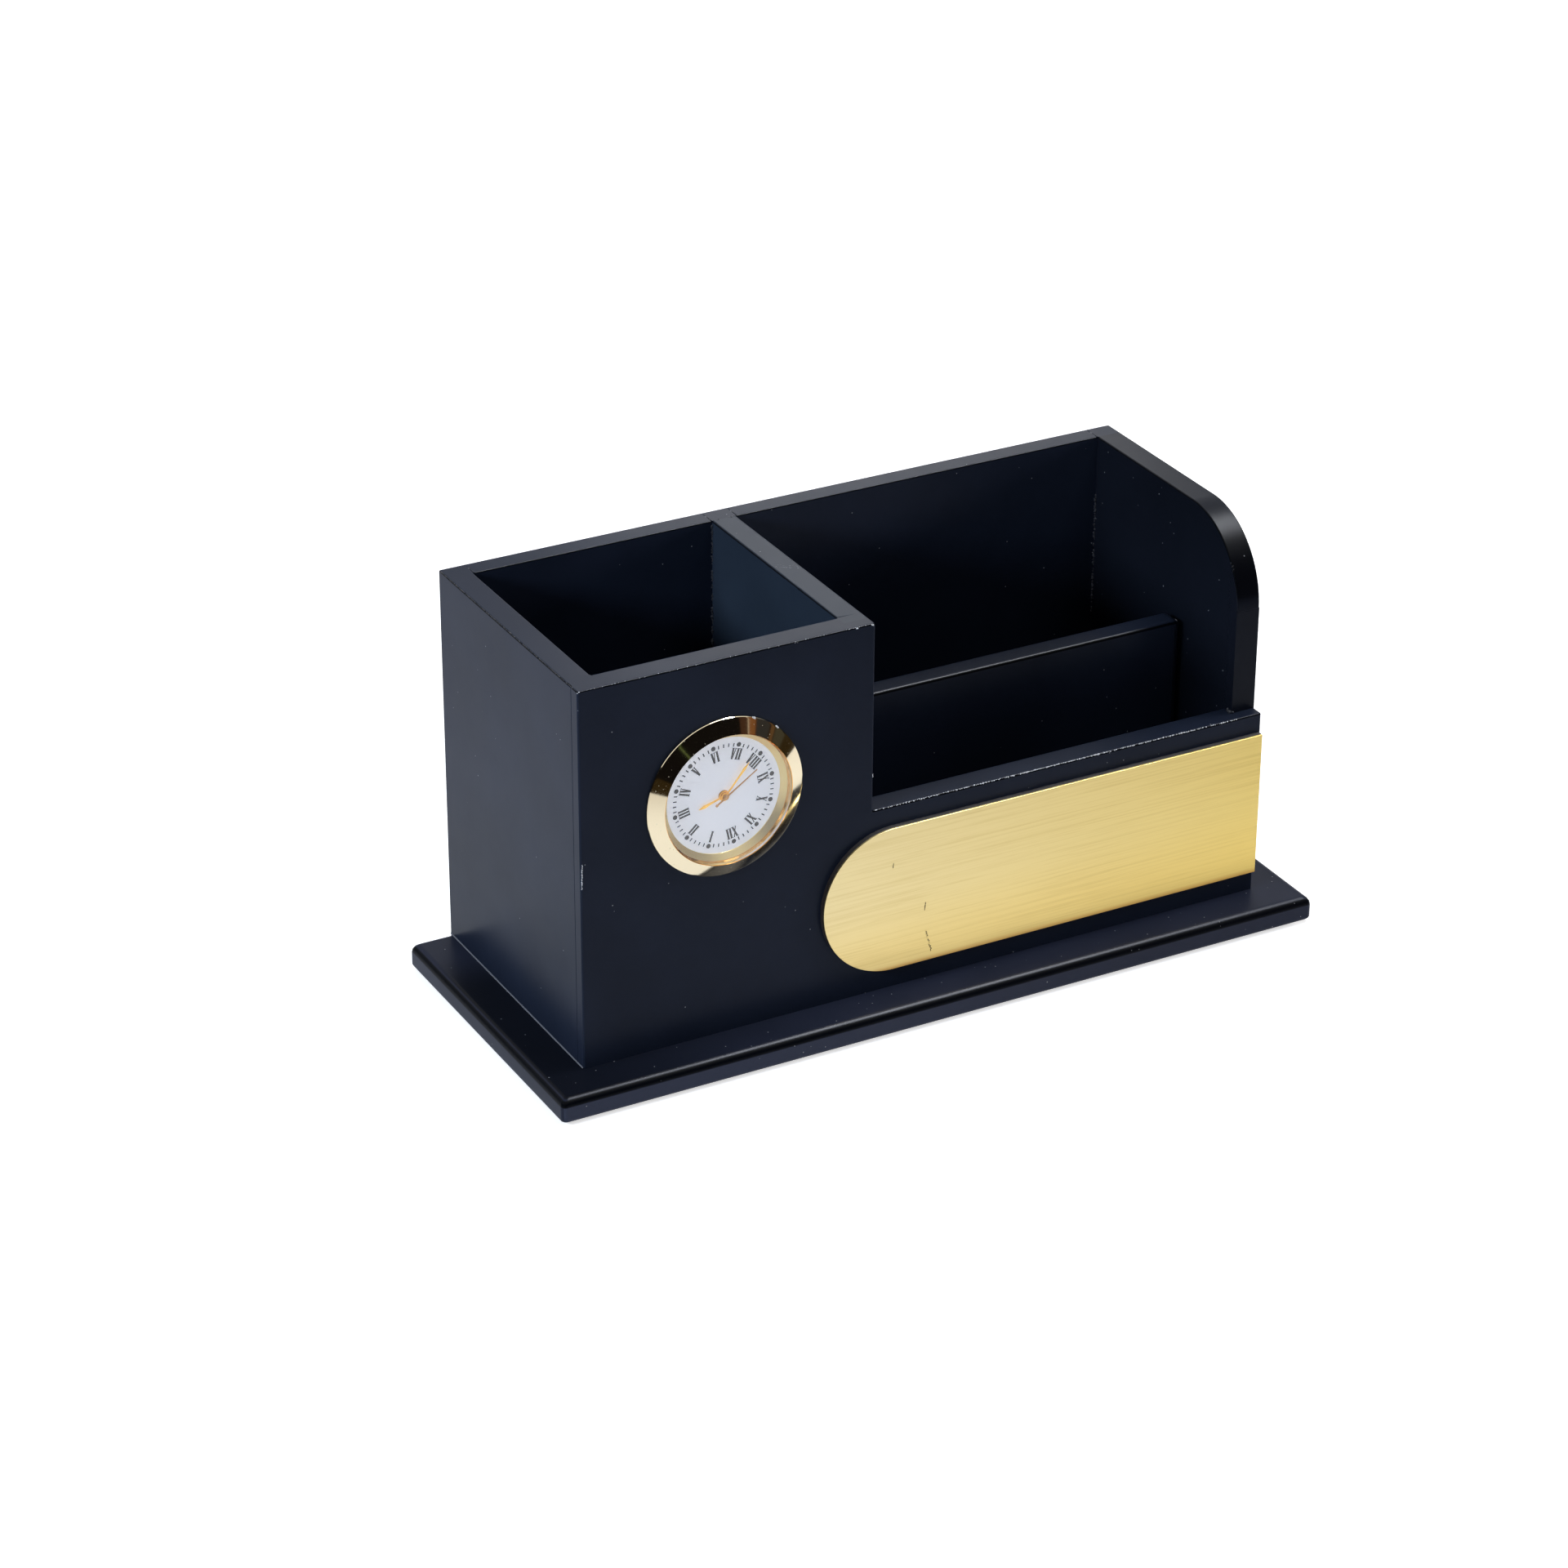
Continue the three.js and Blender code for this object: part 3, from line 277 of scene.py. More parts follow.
def goldLook(name, colour, roughness, pitShare=0.0, innerEdge=None, **finish):
    # plated metal with a film of dust and small pale pits, browner inside an inner edge if one is given
    s = goldSizes
    look = Look(name, **finish)
    spot = look.spot()
    pits = look.specks(s["pitSpacing"], s["pitRadius"], spot, pitShare)
    fine = look.noise(s["grain"], spot, detail=4.0, roughness=0.7)
    if innerEdge:
        across, up = look.axis(spot, "X") - clockCentre.x, look.axis(spot, "Z") - clockCentre.z
        inside = (across * across + up * up).below(innerEdge ** 2, s["innerBlur"] * innerEdge)
        colour = look.blend(inside, colour, s["inner"])
    look.feed(Base_Color=look.blend(pits, colour, s["pit"]), Metallic=1 - pits)
    look.feed(Roughness=roughness + fine * roughness * s["grainShare"] + pits * s["pitRoughness"])
    look.bump(fine + pits, s["grainStrength"], s["grainDepth"])
    return look


plateTones = {
    "left": paint(222, 204, 154),
    "right": paint(212, 188, 114),
    "low": {"colour": paint(224, 190, 96), "heightShare": 0.3, "cover": 0.36},
    "edge": {"colour": paint(190, 138, 66), "width": 0.7 * mm, "cover": 0.7},
    "streak": paint(178, 148, 84),
    "streakBlur": 0.1,
    "hair": {"stretch": (40.0, 1.0, 2600.0), "from": 0.6, "cover": 0.18},
    "band": {"stretch": (18.0, 1.0, 1500.0), "from": 0.56, "cover": 0.55},
    "patch": {"stretch": (14.0, 1.0, 60.0), "from": 0.2},
    "roughness": 0.34,
    "hairRoughness": 0.12,
    "hairDepth": 0.01 * mm,
    "hairStrength": 0.35,
}


def plateLook():
    # brass-coloured sheet brushed from end to end
    s = plateTones
    low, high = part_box("name_plate")
    look = Look("brushedPlate", Metallic=1.0)
    spot = look.spot()
    along, up = look.axis(spot, "X"), look.axis(spot, "Z")
    hairs = look.noise(1.0, look.spot(stretch=s["hair"]["stretch"]), roughness=0.7)
    bands = look.noise(1.0, look.spot(stretch=s["band"]["stretch"]), roughness=0.6)
    patches = look.noise(1.0, look.spot(stretch=s["patch"]["stretch"]), detail=2.0)
    share = look.add("ShaderNodeMapRange", {}, {"Value": along, "From Min": low.x, "From Max": high.x})
    tone = look.blend(share, s["left"], s["right"])
    warmth = (high.z - low.z) * s["low"]["heightShare"]
    warm = up.below(low.z + warmth, warmth)
    tone = look.blend(warm * s["low"]["cover"], tone, s["low"]["colour"])
    banded = (1 - bands.below(s["band"]["from"], s["streakBlur"])) * (patches - s["patch"]["from"])
    brushed = look.blend(banded * s["band"]["cover"], tone, s["streak"])
    haired = 1 - hairs.below(s["hair"]["from"], s["streakBlur"])
    brushed = look.blend(haired * s["hair"]["cover"], brushed, s["streak"])
    bottom = up.below(low.z + s["edge"]["width"], s["edge"]["width"])
    look.feed(Base_Color=look.blend(bottom * s["edge"]["cover"], brushed, s["edge"]["colour"]))
    look.feed(Roughness=s["roughness"] + s["hairRoughness"] * hairs)
    look.bump(hairs, s["hairStrength"], s["hairDepth"])
    return look


plainSizes = {"cloudGrains": 12, "cloudShare": 0.6, "roughnessSpread": 0.16, "strength": 0.4}


def plainLook(name, light, dark, grain, roughness, depth=0.003 * mm, **finish):
    # moulded or stamped stuff: two near colours in fine grain
    s = plainSizes
    look = Look(name, **finish)
    spot = look.spot()
    cloud = look.noise(grain * s["cloudGrains"], spot)
    fine = look.noise(grain, spot, roughness=0.6)
    share = cloud * s["cloudShare"] + fine * (1 - s["cloudShare"])
    look.feed(Base_Color=look.blend(share, dark, light))
    look.feed(Roughness=roughness + (fine - 0.5) * s["roughnessSpread"])
    look.bump(fine, s["strength"], depth)
    return look


lensTones = {
    "clear": (0.985, 0.99, 0.99, 1.0),
    "gloss": (1.0, 1.0, 1.0, 1.0),
    "roughness": 0.03,
    "index": 1.4,
    "glossShare": 0.75,
    "film": 3 * mm,
    "filmShare": 0.004,
}


def lensLook():
    # clear plastic with a faint film of dust
    s = lensTones
    look = Look("lensGlass")
    clear = look.add("ShaderNodeBsdfTransparent", {}, {"Color": s["clear"]})
    gloss = look.add("ShaderNodeBsdfAnisotropic", {}, {"Color": s["gloss"], "Roughness": s["roughness"]})
    facing = look.add("ShaderNodeFresnel", {}, {"IOR": s["index"]})
    share = facing * s["glossShare"] + look.noise(s["film"], look.spot()) * s["filmShare"]
    look.swap(look.add("ShaderNodeMixShader", {}, {0: share, 1: clear, 2: gloss}))
    return look


lacquer = lacquerLook("satinLacquer", "box")
coats = {
    "base_board": lacquerLook("baseLacquer", "base"),
    "right_side": lacquerLook("sideLacquer", "side"),
    "pen_divider": lacquerLook("dividerLacquer", "divider"),
}
plateGold = plateLook()
bezelGold = goldLook("polishedGold", paint(221, 207, 177), 0.06, pitShare=0.24, innerEdge=15.2 * mm)
ringGold = goldLook("ringGold", paint(254, 228, 162), 0.3)
# painted light: the hands glow a little, for the light their faces would mirror
handGold = goldLook("handGold", paint(246, 196, 92), 0.34,
                    Emission_Color=paint(246, 184, 70), Emission_Strength=0.3)
handCopper = goldLook("handCopper", paint(196, 150, 96), 0.34,
                      Emission_Color=paint(190, 148, 96), Emission_Strength=0.2)
lensGlass = lensLook()

# Each with its light and dark colour, its grain, its roughness and, where it is coarse, its depth
# painted light: the dial paper glows a little, for the light on its face
glowingDialPaper = plainLook("dialEnamel", paint(243, 245, 252), paint(238, 241, 250), 0.3 * mm, 0.5,
                      Emission_Color=paint(238, 242, 255), Emission_Strength=0.34)
dialInk = plainLook("dialInk", paint(12, 13, 18), paint(6, 7, 11), 0.2 * mm, 0.5)
feltCloth = plainLook("feltCloth", paint(40, 42, 46), paint(18, 19, 22), 0.25 * mm, 0.9, 0.1 * mm,
                      Sheen_Weight=0.4)
edgeBacking = plainLook("edgeBacking", paint(44, 38, 36), paint(20, 16, 17), 0.5 * mm, 0.6, 0.06 * mm)
steelBright = plainLook("steelBright", paint(196, 199, 203), paint(172, 175, 180), 0.3 * mm, 0.28,
                        Metallic=1.0)
brassBright = plainLook("brassBright", paint(222, 186, 104), paint(202, 160, 80), 0.3 * mm, 0.28,
                        Metallic=1.0)
copperWire = plainLook("copperWire", paint(196, 112, 66), paint(160, 84, 44), 0.12 * mm, 0.35, Metallic=1.0)
blackMould = plainLook("blackMould", paint(34, 35, 38), paint(24, 25, 28), 0.15 * mm, 0.5)
whiteMould = plainLook("whiteMould", paint(236, 235, 229), paint(222, 221, 213), 0.3 * mm, 0.5)
rubberBlack = plainLook("rubberBlack", paint(38, 38, 40), paint(26, 26, 28), 0.2 * mm, 0.8)
boardGreen = plainLook("boardGreen", paint(38, 112, 76), paint(24, 84, 56), 0.4 * mm, 0.45)
magnetGrey = plainLook("magnetGrey", paint(98, 100, 106), paint(72, 74, 80), 0.3 * mm, 0.4, Metallic=1.0)
paleDust = plainLook("paleDust", paint(232, 233, 236), paint(188, 190, 196), 0.15 * mm, 0.8)
# painted highlight for the left side's bottom arris
seamLine = plainLook("seamLine", paint(90, 93, 102), paint(70, 74, 84), 0.3 * mm, 0.4)
# painted shade for the dark reflection along the left rim's arris
arrisDark = plainLook("arrisDark", paint(12, 14, 20), paint(6, 8, 12), 0.3 * mm, 0.5)
fillerDark = plainLook("fillerDark", paint(58, 60, 66), paint(16, 19, 27), 0.3 * mm, 0.45, 0.02 * mm)
markBrown = plainLook("markBrown", paint(66, 52, 30), paint(34, 26, 16), 0.15 * mm, 0.6)
print("materials made")


# Ways of making a piece

def addPiece(name, mesh, look, body, replaced=()):
    obj = bpy.data.objects.new(name, mesh)
    scene.collection.objects.link(obj)
    mesh.materials.clear()
    mesh.materials.append(look.material)
    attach(obj, body)
    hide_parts(*replaced)
    return obj


def toMesh(bm, name, sharp=30.0):
    bmesh.ops.recalc_face_normals(bm, faces=bm.faces)
    mesh = bpy.data.meshes.new(name)
    bm.to_mesh(mesh)
    bm.free()
    mesh.shade_smooth()
    mesh.set_sharp_from_angle(angle=math.radians(sharp))
    return mesh


meshSizes = {"weld": 0.002 * mm, "flat": math.radians(0.6), "corner": math.radians(35)}


def weldedCopy(node):
    # a CAD node's triangles, joined up
    bm = bmesh.new()
    bm.from_mesh(nodes[node].data)
    bmesh.ops.remove_doubles(bm, verts=bm.verts, dist=meshSizes["weld"])
    return bm


def mergedCopy(node):
    # the same with its flat faces made whole
    bm = weldedCopy(node)
    bmesh.ops.dissolve_limit(bm, angle_limit=meshSizes["flat"], verts=bm.verts, edges=bm.edges)
    return bm


def bevelEdges(obj, width, segments, limit="ANGLE"):
    bevel = obj.modifiers.new("easedEdges", "BEVEL")
    bevel.width = width
    bevel.segments = segments
    bevel.limit_method = limit
    bevel.angle_limit = meshSizes["corner"]
    bevel.use_clamp_overlap = limit == "ANGLE"
    bevel.harden_normals = True


def heldProfile(profile, hold=0.05, longFrom=0.4):
    # puts a point close to both ends of each long stretch, so that smooth shading keeps to the corners
    points = []
    for index, (radius, depth) in enumerate(profile):
        points.append((radius, depth))
        if index + 1 == len(profile) and profile[0][0] == 0:
            continue
        afterRadius, afterDepth = profile[(index + 1) % len(profile)]
        length = math.hypot(afterRadius - radius, afterDepth - depth)
        if length > longFrom:
            for share in (hold / length, 1 - hold / length):
                points.append((radius + (afterRadius - radius) * share, depth + (afterDepth - depth) * share))
    return points


def turnedMesh(name, profile, segments, centre=clockCentre, sharp=30.0):
    # radius and depth pairs, in mm from the clock's centre, turned about Y
    profile = heldProfile(profile)
    bm = bmesh.new()
    rings = []
    for radius, depth in profile:
        if radius == 0:
            rings.append([bm.verts.new(centre + place(0, depth, 0))])
            continue
        ring = []
        for step in range(segments):
            angle = math.tau * step / segments
            spot = place(radius * math.cos(angle), depth, radius * math.sin(angle))
            ring.append(bm.verts.new(centre + spot))
        rings.append(ring)
    closed = profile[0][0] != 0
    following = rings[1:] + rings[:1] if closed else rings[1:]
    for first, second in zip(rings, following):
        for step in range(segments):
            after = (step + 1) % segments
            corners = [first[step % len(first)], first[after % len(first)],
                       second[after % len(second)], second[step % len(second)]]
            face = list(dict.fromkeys(corners))
            if len(face) > 2:
                bm.faces.new(face)
    return toMesh(bm, name, sharp)


def prism(bm, outline, front, back):
    # a closed flat piece: an outline in X and Z between two depths
    near = [bm.verts.new((x, front, z)) for x, z in outline]
    far = [bm.verts.new((x, back, z)) for x, z in outline]
    bm.faces.new(near)
    bm.faces.new(far[::-1])
    for index in range(len(outline)):
        after = (index + 1) % len(outline)
        bm.faces.new((near[index], far[index], far[after], near[after]))


# Boards of the box: arrises that show are eased, flush joints are painted over

boardSizes = {
    "ease": 0.4 * mm,
    "partitionEase": 1.7 * mm,
    "easeSteps": 4,
    "jointShare": 0.3,
    "jointNear": 0.1 * mm,
    "jointReach": 4 * mm,
    "jointHeight": 5 * mm,
    "arcCuts": 4,
    "arcShares": (0.985, 1.0001),
    "arcNear": 0.02 * mm,
    "level": 0.01 * mm,
    "probe": 0.05 * mm,
    "probeWay": Vector((0.137, 0.291, 0.947)).normalized(),
    "probeStep": 0.001 * mm,
    "mostWalls": 40,
    "touching": 0.5 * mm,
    "clear": 0.3 * mm,
    "cutWeld": 0.001 * mm,
    "fadeEases": 1.1,
    "inLine": 0.99,
    "holeRadius": 17 * mm,
    "cornerRadius": 20 * mm,
    "footShare": 0.6,
    "base": {"roundover": 2 * mm, "bottomEase": 0.6 * mm, "cadRadius": 3 * mm, "radius": 1.2 * mm,
             "cadInsetShare": 0.5, "insetShare": 0.25, "bottom": 0.1 * mm, "near": 0.02 * mm},
}
boardNames = [
    "front_board", "back_board", "left_side", "right_side", "pen_divider", "slot_partition", "base_board",
]


def boardTree(name):
    bm = weldedCopy(name)
    tree = BVHTree.FromBMesh(bm)
    bm.free()
    return tree


def isInside(tree, point):
    # counts the walls on a straight way out
    s = boardSizes
    start = point.copy()
    crossings = 0
    while crossings < s["mostWalls"]:
        hit = tree.ray_cast(start, s["probeWay"])[0]
        if hit is None:
            break
        crossings += 1
        start = hit + s["probeWay"] * s["probeStep"]
    return crossings % 2 == 1


def smoothArc(bm, centre, radius, flatAxis):
    # cuts the facets round a centre finer and puts the new points on the true arc
    s = boardSizes
    least, most = [radius * share for share in s["arcShares"]]

    def outward(point):
        away = point - centre
        away[flatAxis] = 0
        return away

    def onArc(edge):
        near = all(abs(outward(v.co).length - radius) < s["arcNear"] for v in edge.verts)
        across = abs((edge.verts[0].co - edge.verts[1].co)[flatAxis]) < s["level"]
        return near and across

    arcs = [edge for edge in bm.edges if onArc(edge)]
    bmesh.ops.subdivide_edges(bm, edges=arcs, cuts=s["arcCuts"], use_grid_fill=True)
    for vertex in bm.verts:
        away = outward(vertex.co)
        if least < away.length < most:
            vertex.co += away.normalized() * (radius - away.length)


def cutAtNeighbours(bm, name, ease):
    # so that an arris ends where another board meets it, with room beside the joint for it to fade
    s = boardSizes
    low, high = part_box(name)
    for other in boardNames:
        start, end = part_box(other)
        apart = max(max(start[axis] - high[axis], low[axis] - end[axis]) for axis in range(3))
        if other == name or apart > s["touching"]:
            continue
        for corner in (start, end):
            for axis in range(3):
                if not low[axis] + s["clear"] < corner[axis] < high[axis] - s["clear"]:
                    continue
                normal = Vector((0, 0, 0))
                normal[axis] = 1
                for shift in (-ease, 0, ease):
                    everything = bm.verts[:] + bm.edges[:] + bm.faces[:]
                    bmesh.ops.bisect_plane(bm, geom=everything, plane_co=corner + normal * shift,
                                           plane_no=normal, dist=s["cutWeld"])


def edgeWay(edge):
    return (edge.verts[1].co - edge.verts[0].co).normalized()


def fadesOut(edge, shown, ease):
    # a short stretch of arris right beside a covered one
    if edge.calc_length() > ease * boardSizes["fadeEases"]:
        return False
    for vertex in edge.verts:
        for other in vertex.link_edges:
            if other is edge or other not in shown or shown[other]:
                continue
            if abs(edgeWay(edge).dot(edgeWay(other))) > boardSizes["inLine"]:
                return True
    return False


def onSideJoint(middle, edge):
    # the front board's edge shows as a fine line down the two outer sides
    s = boardSizes
    upright = abs((edge.verts[0].co - edge.verts[1].co).z) > s["jointHeight"]
    atSide = min(abs(middle.x - boxLeft), abs(middle.x - boxRight)) < s["jointNear"]
    return upright and atSide and middle.y < boxFront + s["jointReach"]


def markArrises(bm, trees, ease):
    # the bevel's weight: whole on an arris that shows, less on a joint, none where a board covers it
    s = boardSizes
    weights = bm.edges.layers.float.new("bevel_weight_edge")
    shown = {}
    for edge in bm.edges:
        if len(edge.link_faces) != 2 or edge.calc_face_angle_signed(0) < meshSizes["corner"]:
            continue
        first, second = [face.normal * s["probe"] for face in edge.link_faces]
        middle = (edge.verts[0].co + edge.verts[1].co) / 2
        around = [middle + first - second, middle + second - first, middle + first + second]
        covered = any(isInside(tree, point) for tree in trees for point in around)
        shown[edge] = not covered
        if covered and onSideJoint(middle, edge):
            edge[weights] = s["jointShare"]
    for edge in shown:
        if shown[edge] and not fadesOut(edge, shown, ease):
            edge[weights] = 1.0


def squareCorners(bm):
    # draws the base's corners out to a small radius in plan; its rounded top edge follows
    s = boardSizes["base"]
    low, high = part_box("base_board")
    middle, half = (low + high) / 2, (high - low) / 2
    corner, diagonal = Vector((half.x, half.y)), Vector((1, 1))
    for vertex in bm.verts:
        drop = max(0.0, min(vertex.co.z - high.z + s["roundover"], s["roundover"])) / s["roundover"]
        inset = s["roundover"] * (1 - math.cos(math.asin(drop)))
        if vertex.co.z < low.z + s["bottom"]:
            inset = s["bottomEase"]
        oldRadius = s["cadRadius"] - inset * s["cadInsetShare"]
        newRadius = s["radius"] - inset * s["insetShare"]
        away = Vector((abs(vertex.co.x - middle.x), abs(vertex.co.y - middle.y)))
        start = corner - diagonal * (inset + oldRadius)
        if min(away.x - start.x, away.y - start.y) < -s["near"]:
            continue
        moved = corner - diagonal * (inset + newRadius) + (away - start).normalized() * newRadius
        vertex.co.x = middle.x + math.copysign(moved.x, vertex.co.x - middle.x)
        vertex.co.y = middle.y + math.copysign(moved.y, vertex.co.y - middle.y)


def thickenBack(bm):
    # draws the back board out to the base's back edge, and its foot down onto the rounded edge there
    s = boardSizes
    for vertex in bm.verts:
        if vertex.co.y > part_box("back_board")[1].y - s["level"]:
            vertex.co.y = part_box("base_board")[1].y
            if vertex.co.z < boxFloor + s["level"]:
                vertex.co.z -= s["base"]["roundover"] * s["footShare"]


def makeBoard(name, others):
    s = boardSizes
    bm = mergedCopy(name)
    ease = s["partitionEase"] if name == "slot_partition" else s["ease"]
    if name == "front_board":
        smoothArc(bm, clockCentre, s["holeRadius"], 1)
    if name == "right_side":
        low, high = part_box(name)
        radius = s["cornerRadius"]
        smoothArc(bm, Vector((0, low.y + radius, high.z - radius)), radius, 0)
    if name == "base_board":
        squareCorners(bm)
    else:
        cutAtNeighbours(bm, name, ease)
    bm.normal_update()
    markArrises(bm, others, ease)
    if name == "back_board":
        thickenBack(bm)
    mesh = toMesh(bm, name + "_lacquered")
    obj = addPiece(name + "_lacquered", mesh, coats.get(name, lacquer), "case", [name])
    bevelEdges(obj, ease, s["easeSteps"], "WEIGHT")
    obj.modifiers.new("flatShading", "WEIGHTED_NORMAL").keep_sharp = True


boardTrees = {name: boardTree(name) for name in boardNames}
for boardName in boardNames:
    makeBoard(boardName, [tree for other, tree in boardTrees.items() if other != boardName])
print("boards made")


# Gold plate and its backing: square at the right, a half circle at the left

plateShape = {
    "arcSteps": 96,
    "ease": 0.08 * mm,
    "easeSteps": 2,
    "rough": 0.05 * mm,
    "roughStep": 0.6 * mm,
    "roughSeed": 11,
    "roughSharp": 60.0,
}


def plateOutline(low, high):
    radius = (high.z - low.z) / 2
    middle = (high.z + low.z) / 2
    points = [(high.x, middle - radius), (high.x, middle + radius)]
    for step in range(plateShape["arcSteps"] + 1):
        angle = math.pi * (0.5 + step / plateShape["arcSteps"])
        points.append((low.x + radius + radius * math.cos(angle), middle + radius * math.sin(angle)))
    return points


def roughened(outline):
    # the same outline as a knife leaves it
    s = plateShape
    random.seed(s["roughSeed"])
    points = []
    for index, (x, z) in enumerate(outline):
        afterX, afterZ = outline[(index + 1) % len(outline)]
        steps = max(1, round(math.hypot(afterX - x, afterZ - z) / s["roughStep"]))
        for step in range(steps):
            share = step / steps
            points.append((x + (afterX - x) * share + random.uniform(-1, 1) * s["rough"],
                           z + (afterZ - z) * share + random.uniform(-1, 1) * s["rough"]))
    return points


def makePlate():
    s = plateShape
    low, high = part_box("name_plate")
    bm = bmesh.new()
    prism(bm, plateOutline(low, high), low.y, high.y)
    obj = addPiece("gold_plate", toMesh(bm, "gold_plate"), plateGold, "case", ["name_plate"])
    bevelEdges(obj, s["ease"], s["easeSteps"])
    low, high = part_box("plate_backing")
    bm = bmesh.new()
    prism(bm, roughened(plateOutline(low, high)), low.y, high.y)
    mesh = toMesh(bm, "plate_edge", s["roughSharp"])
    addPiece("plate_edge", mesh, edgeBacking, "case", ["plate_backing"])


makePlate()
print("plate made")


# Clock insert: bezel, ring, lens and dial are turned about the clock's centre, with their sizes in mm

insertSizes = {
    "segments": 144,
    "sharp": 24.0,
    "bezelRadius": 18.5,
    "bezelInner": 15.1,
    "bezelHeight": 2.3,
    "rimHeight": 0.56,
    "ease": 0.2,
    "rollWidth": 0.1,
    "rollRise": 0.16,
    "rollShoulder": 0.05,
    "footEase": 0.08,
    "lip": 0.05,
    "skirtOuter": 16.4,
    "skirtInner": 15.9,
    "skirtDepth": 1.2,
    "neck": 14.9,
    "ledge": 14.75,
    "ledgeThickness": 0.4,
    "ringInner": 13.5,
    "ringOverlap": 0.1,
    "ringInset": 0.02,
    "ringGap": 0.03,
    "ringLip": 0.05,
    "ringRise": 0.18,
    "ringFace": 0.1,
    "lensThickness": 0.9,
    "lensDome": 0.15,
    "lensGap": 0.1,
    "lensEase": 0.06,
    "lensSteps": 8,
    "lensSharp": 40.0,
    "dialRadius": 14.6,
    "dialDepth": 0.3,
    "dialThickness": 0.4,
    "dialBore": 1.25,
}
lensSeat = insertSizes["lensThickness"] - insertSizes["bezelHeight"]
ledgeFront = lensSeat + insertSizes["bezelInner"] - insertSizes["ledge"]
ledgeBack = ledgeFront + insertSizes["ledgeThickness"] / 2


def makeBezel():
    s = insertSizes
    inner, outer, front, rim = s["bezelInner"], s["bezelRadius"], -s["bezelHeight"], -s["rimHeight"]
    profile = [
        (s["ledge"], ledgeFront), (inner, lensSeat), (inner, front + s["lip"]), (inner + s["lip"], front),
        (inner + s["lip"] * 2, front + s["lip"] / 2),
        (outer - s["ease"] - s["rollWidth"], rim - s["rollRise"]),
        (outer - s["ease"] / 2, rim - s["rollShoulder"]),
        (outer, rim + s["ease"] / 2), (outer, -s["footEase"]), (outer - s["footEase"], 0),
        (s["skirtOuter"], 0), (s["skirtOuter"], s["skirtDepth"]), (s["skirtInner"], s["skirtDepth"]),
        (s["skirtInner"], 0), (s["neck"], 0), (s["neck"], ledgeFront + s["ledgeThickness"]),
        (s["ledge"], ledgeBack),
    ]
    mesh = turnedMesh("gold_bezel", profile, s["segments"], sharp=s["sharp"])
    addPiece("gold_bezel", mesh, bezelGold, "insert", ["bezel"])


def makeDialRing():
    s = insertSizes
    top, outer, back = ledgeBack + s["ringGap"], s["ledge"] + s["ringOverlap"], s["dialDepth"]
    profile = [
        (s["ringInner"], back), (outer, back), (outer, top), (s["ledge"] - s["ringInset"], top),
        (s["ringInner"] + s["ringLip"], back - s["ringRise"]), (s["ringInner"], back - s["ringFace"]),
    ]
    mesh = turnedMesh("gold_dial_ring", profile, s["segments"], sharp=s["sharp"])
    addPiece("gold_dial_ring", mesh, ringGold, "insert", ["dial_ring"])


def makeLens():
    s = insertSizes
    radius, front, ease = s["bezelInner"] - s["lensGap"], -s["bezelHeight"], s["lensEase"]
    profile = [(0, lensSeat), (radius, lensSeat), (radius, front + ease), (radius - ease, front)]
    for step in range(s["lensSteps"] - 1, -1, -1):
        share = step / s["lensSteps"]
        profile.append((radius * share, front - s["lensDome"] * (1 - share * share)))
    mesh = turnedMesh("dial_lens", profile, s["segments"], sharp=s["lensSharp"])
    addPiece("dial_lens", mesh, lensGlass, "insert", ["lens"])


def makeDial():
    s = insertSizes
    bore, outer = s["dialBore"], s["dialRadius"]
    front, back = s["dialDepth"], s["dialDepth"] + s["dialThickness"]
    profile = [(bore, front), (outer, front), (outer, back), (bore, back)]
    mesh = turnedMesh("dial_face", profile, s["segments"])
    addPiece("dial_face", mesh, glowingDialPaper, "insert", ["dial"])


makeBezel()
makeDialRing()
makeLens()
makeDial()
print("bezel, ring, lens and dial made")


# Printing on the dial: numerals from strokes, ticks and dots by Geometry Nodes

printSizes = {
    "turn": 168.1,
    "thickness": 0.02 * mm,
    "numeralFoot": 8.3,
    "numeralHeight": 2.6,
    "thick": 0.45,
    "thin": 0.22,
    "serif": 0.11,
    "serifReach": 0.12,
    "widthOfI": 0.7,
    "widthOfV": 1.22,
    "widthOfX": 1.32,
    "tickRadius": 11.62,
    "tickLength": 0.85,
    "tickWidth": 0.28,
    "dotPlace": 11.78,
    "dotRadius": 0.54,
    "footShift": 0.03,
    "thinFootShift": 0.05,
    "tickCount": 60,
    "ticksAnHour": 5,
    "dotSides": 28,
}
numerals = ["XII", "I", "II", "III", "IV", "V", "VI", "VII", "VIII", "IX", "X", "XI"]


def slanted(foot, head, width, height):
    half = width / 2
    return [(foot - half, 0), (foot + half, 0), (head + half, height), (head - half, height)]


def serif(middle, level, width):
    s = printSizes
    half = width / 2 + s["serifReach"]
    return [(middle - half, level), (middle + half, level),
            (middle + half, level + s["serif"]), (middle - half, level + s["serif"])]


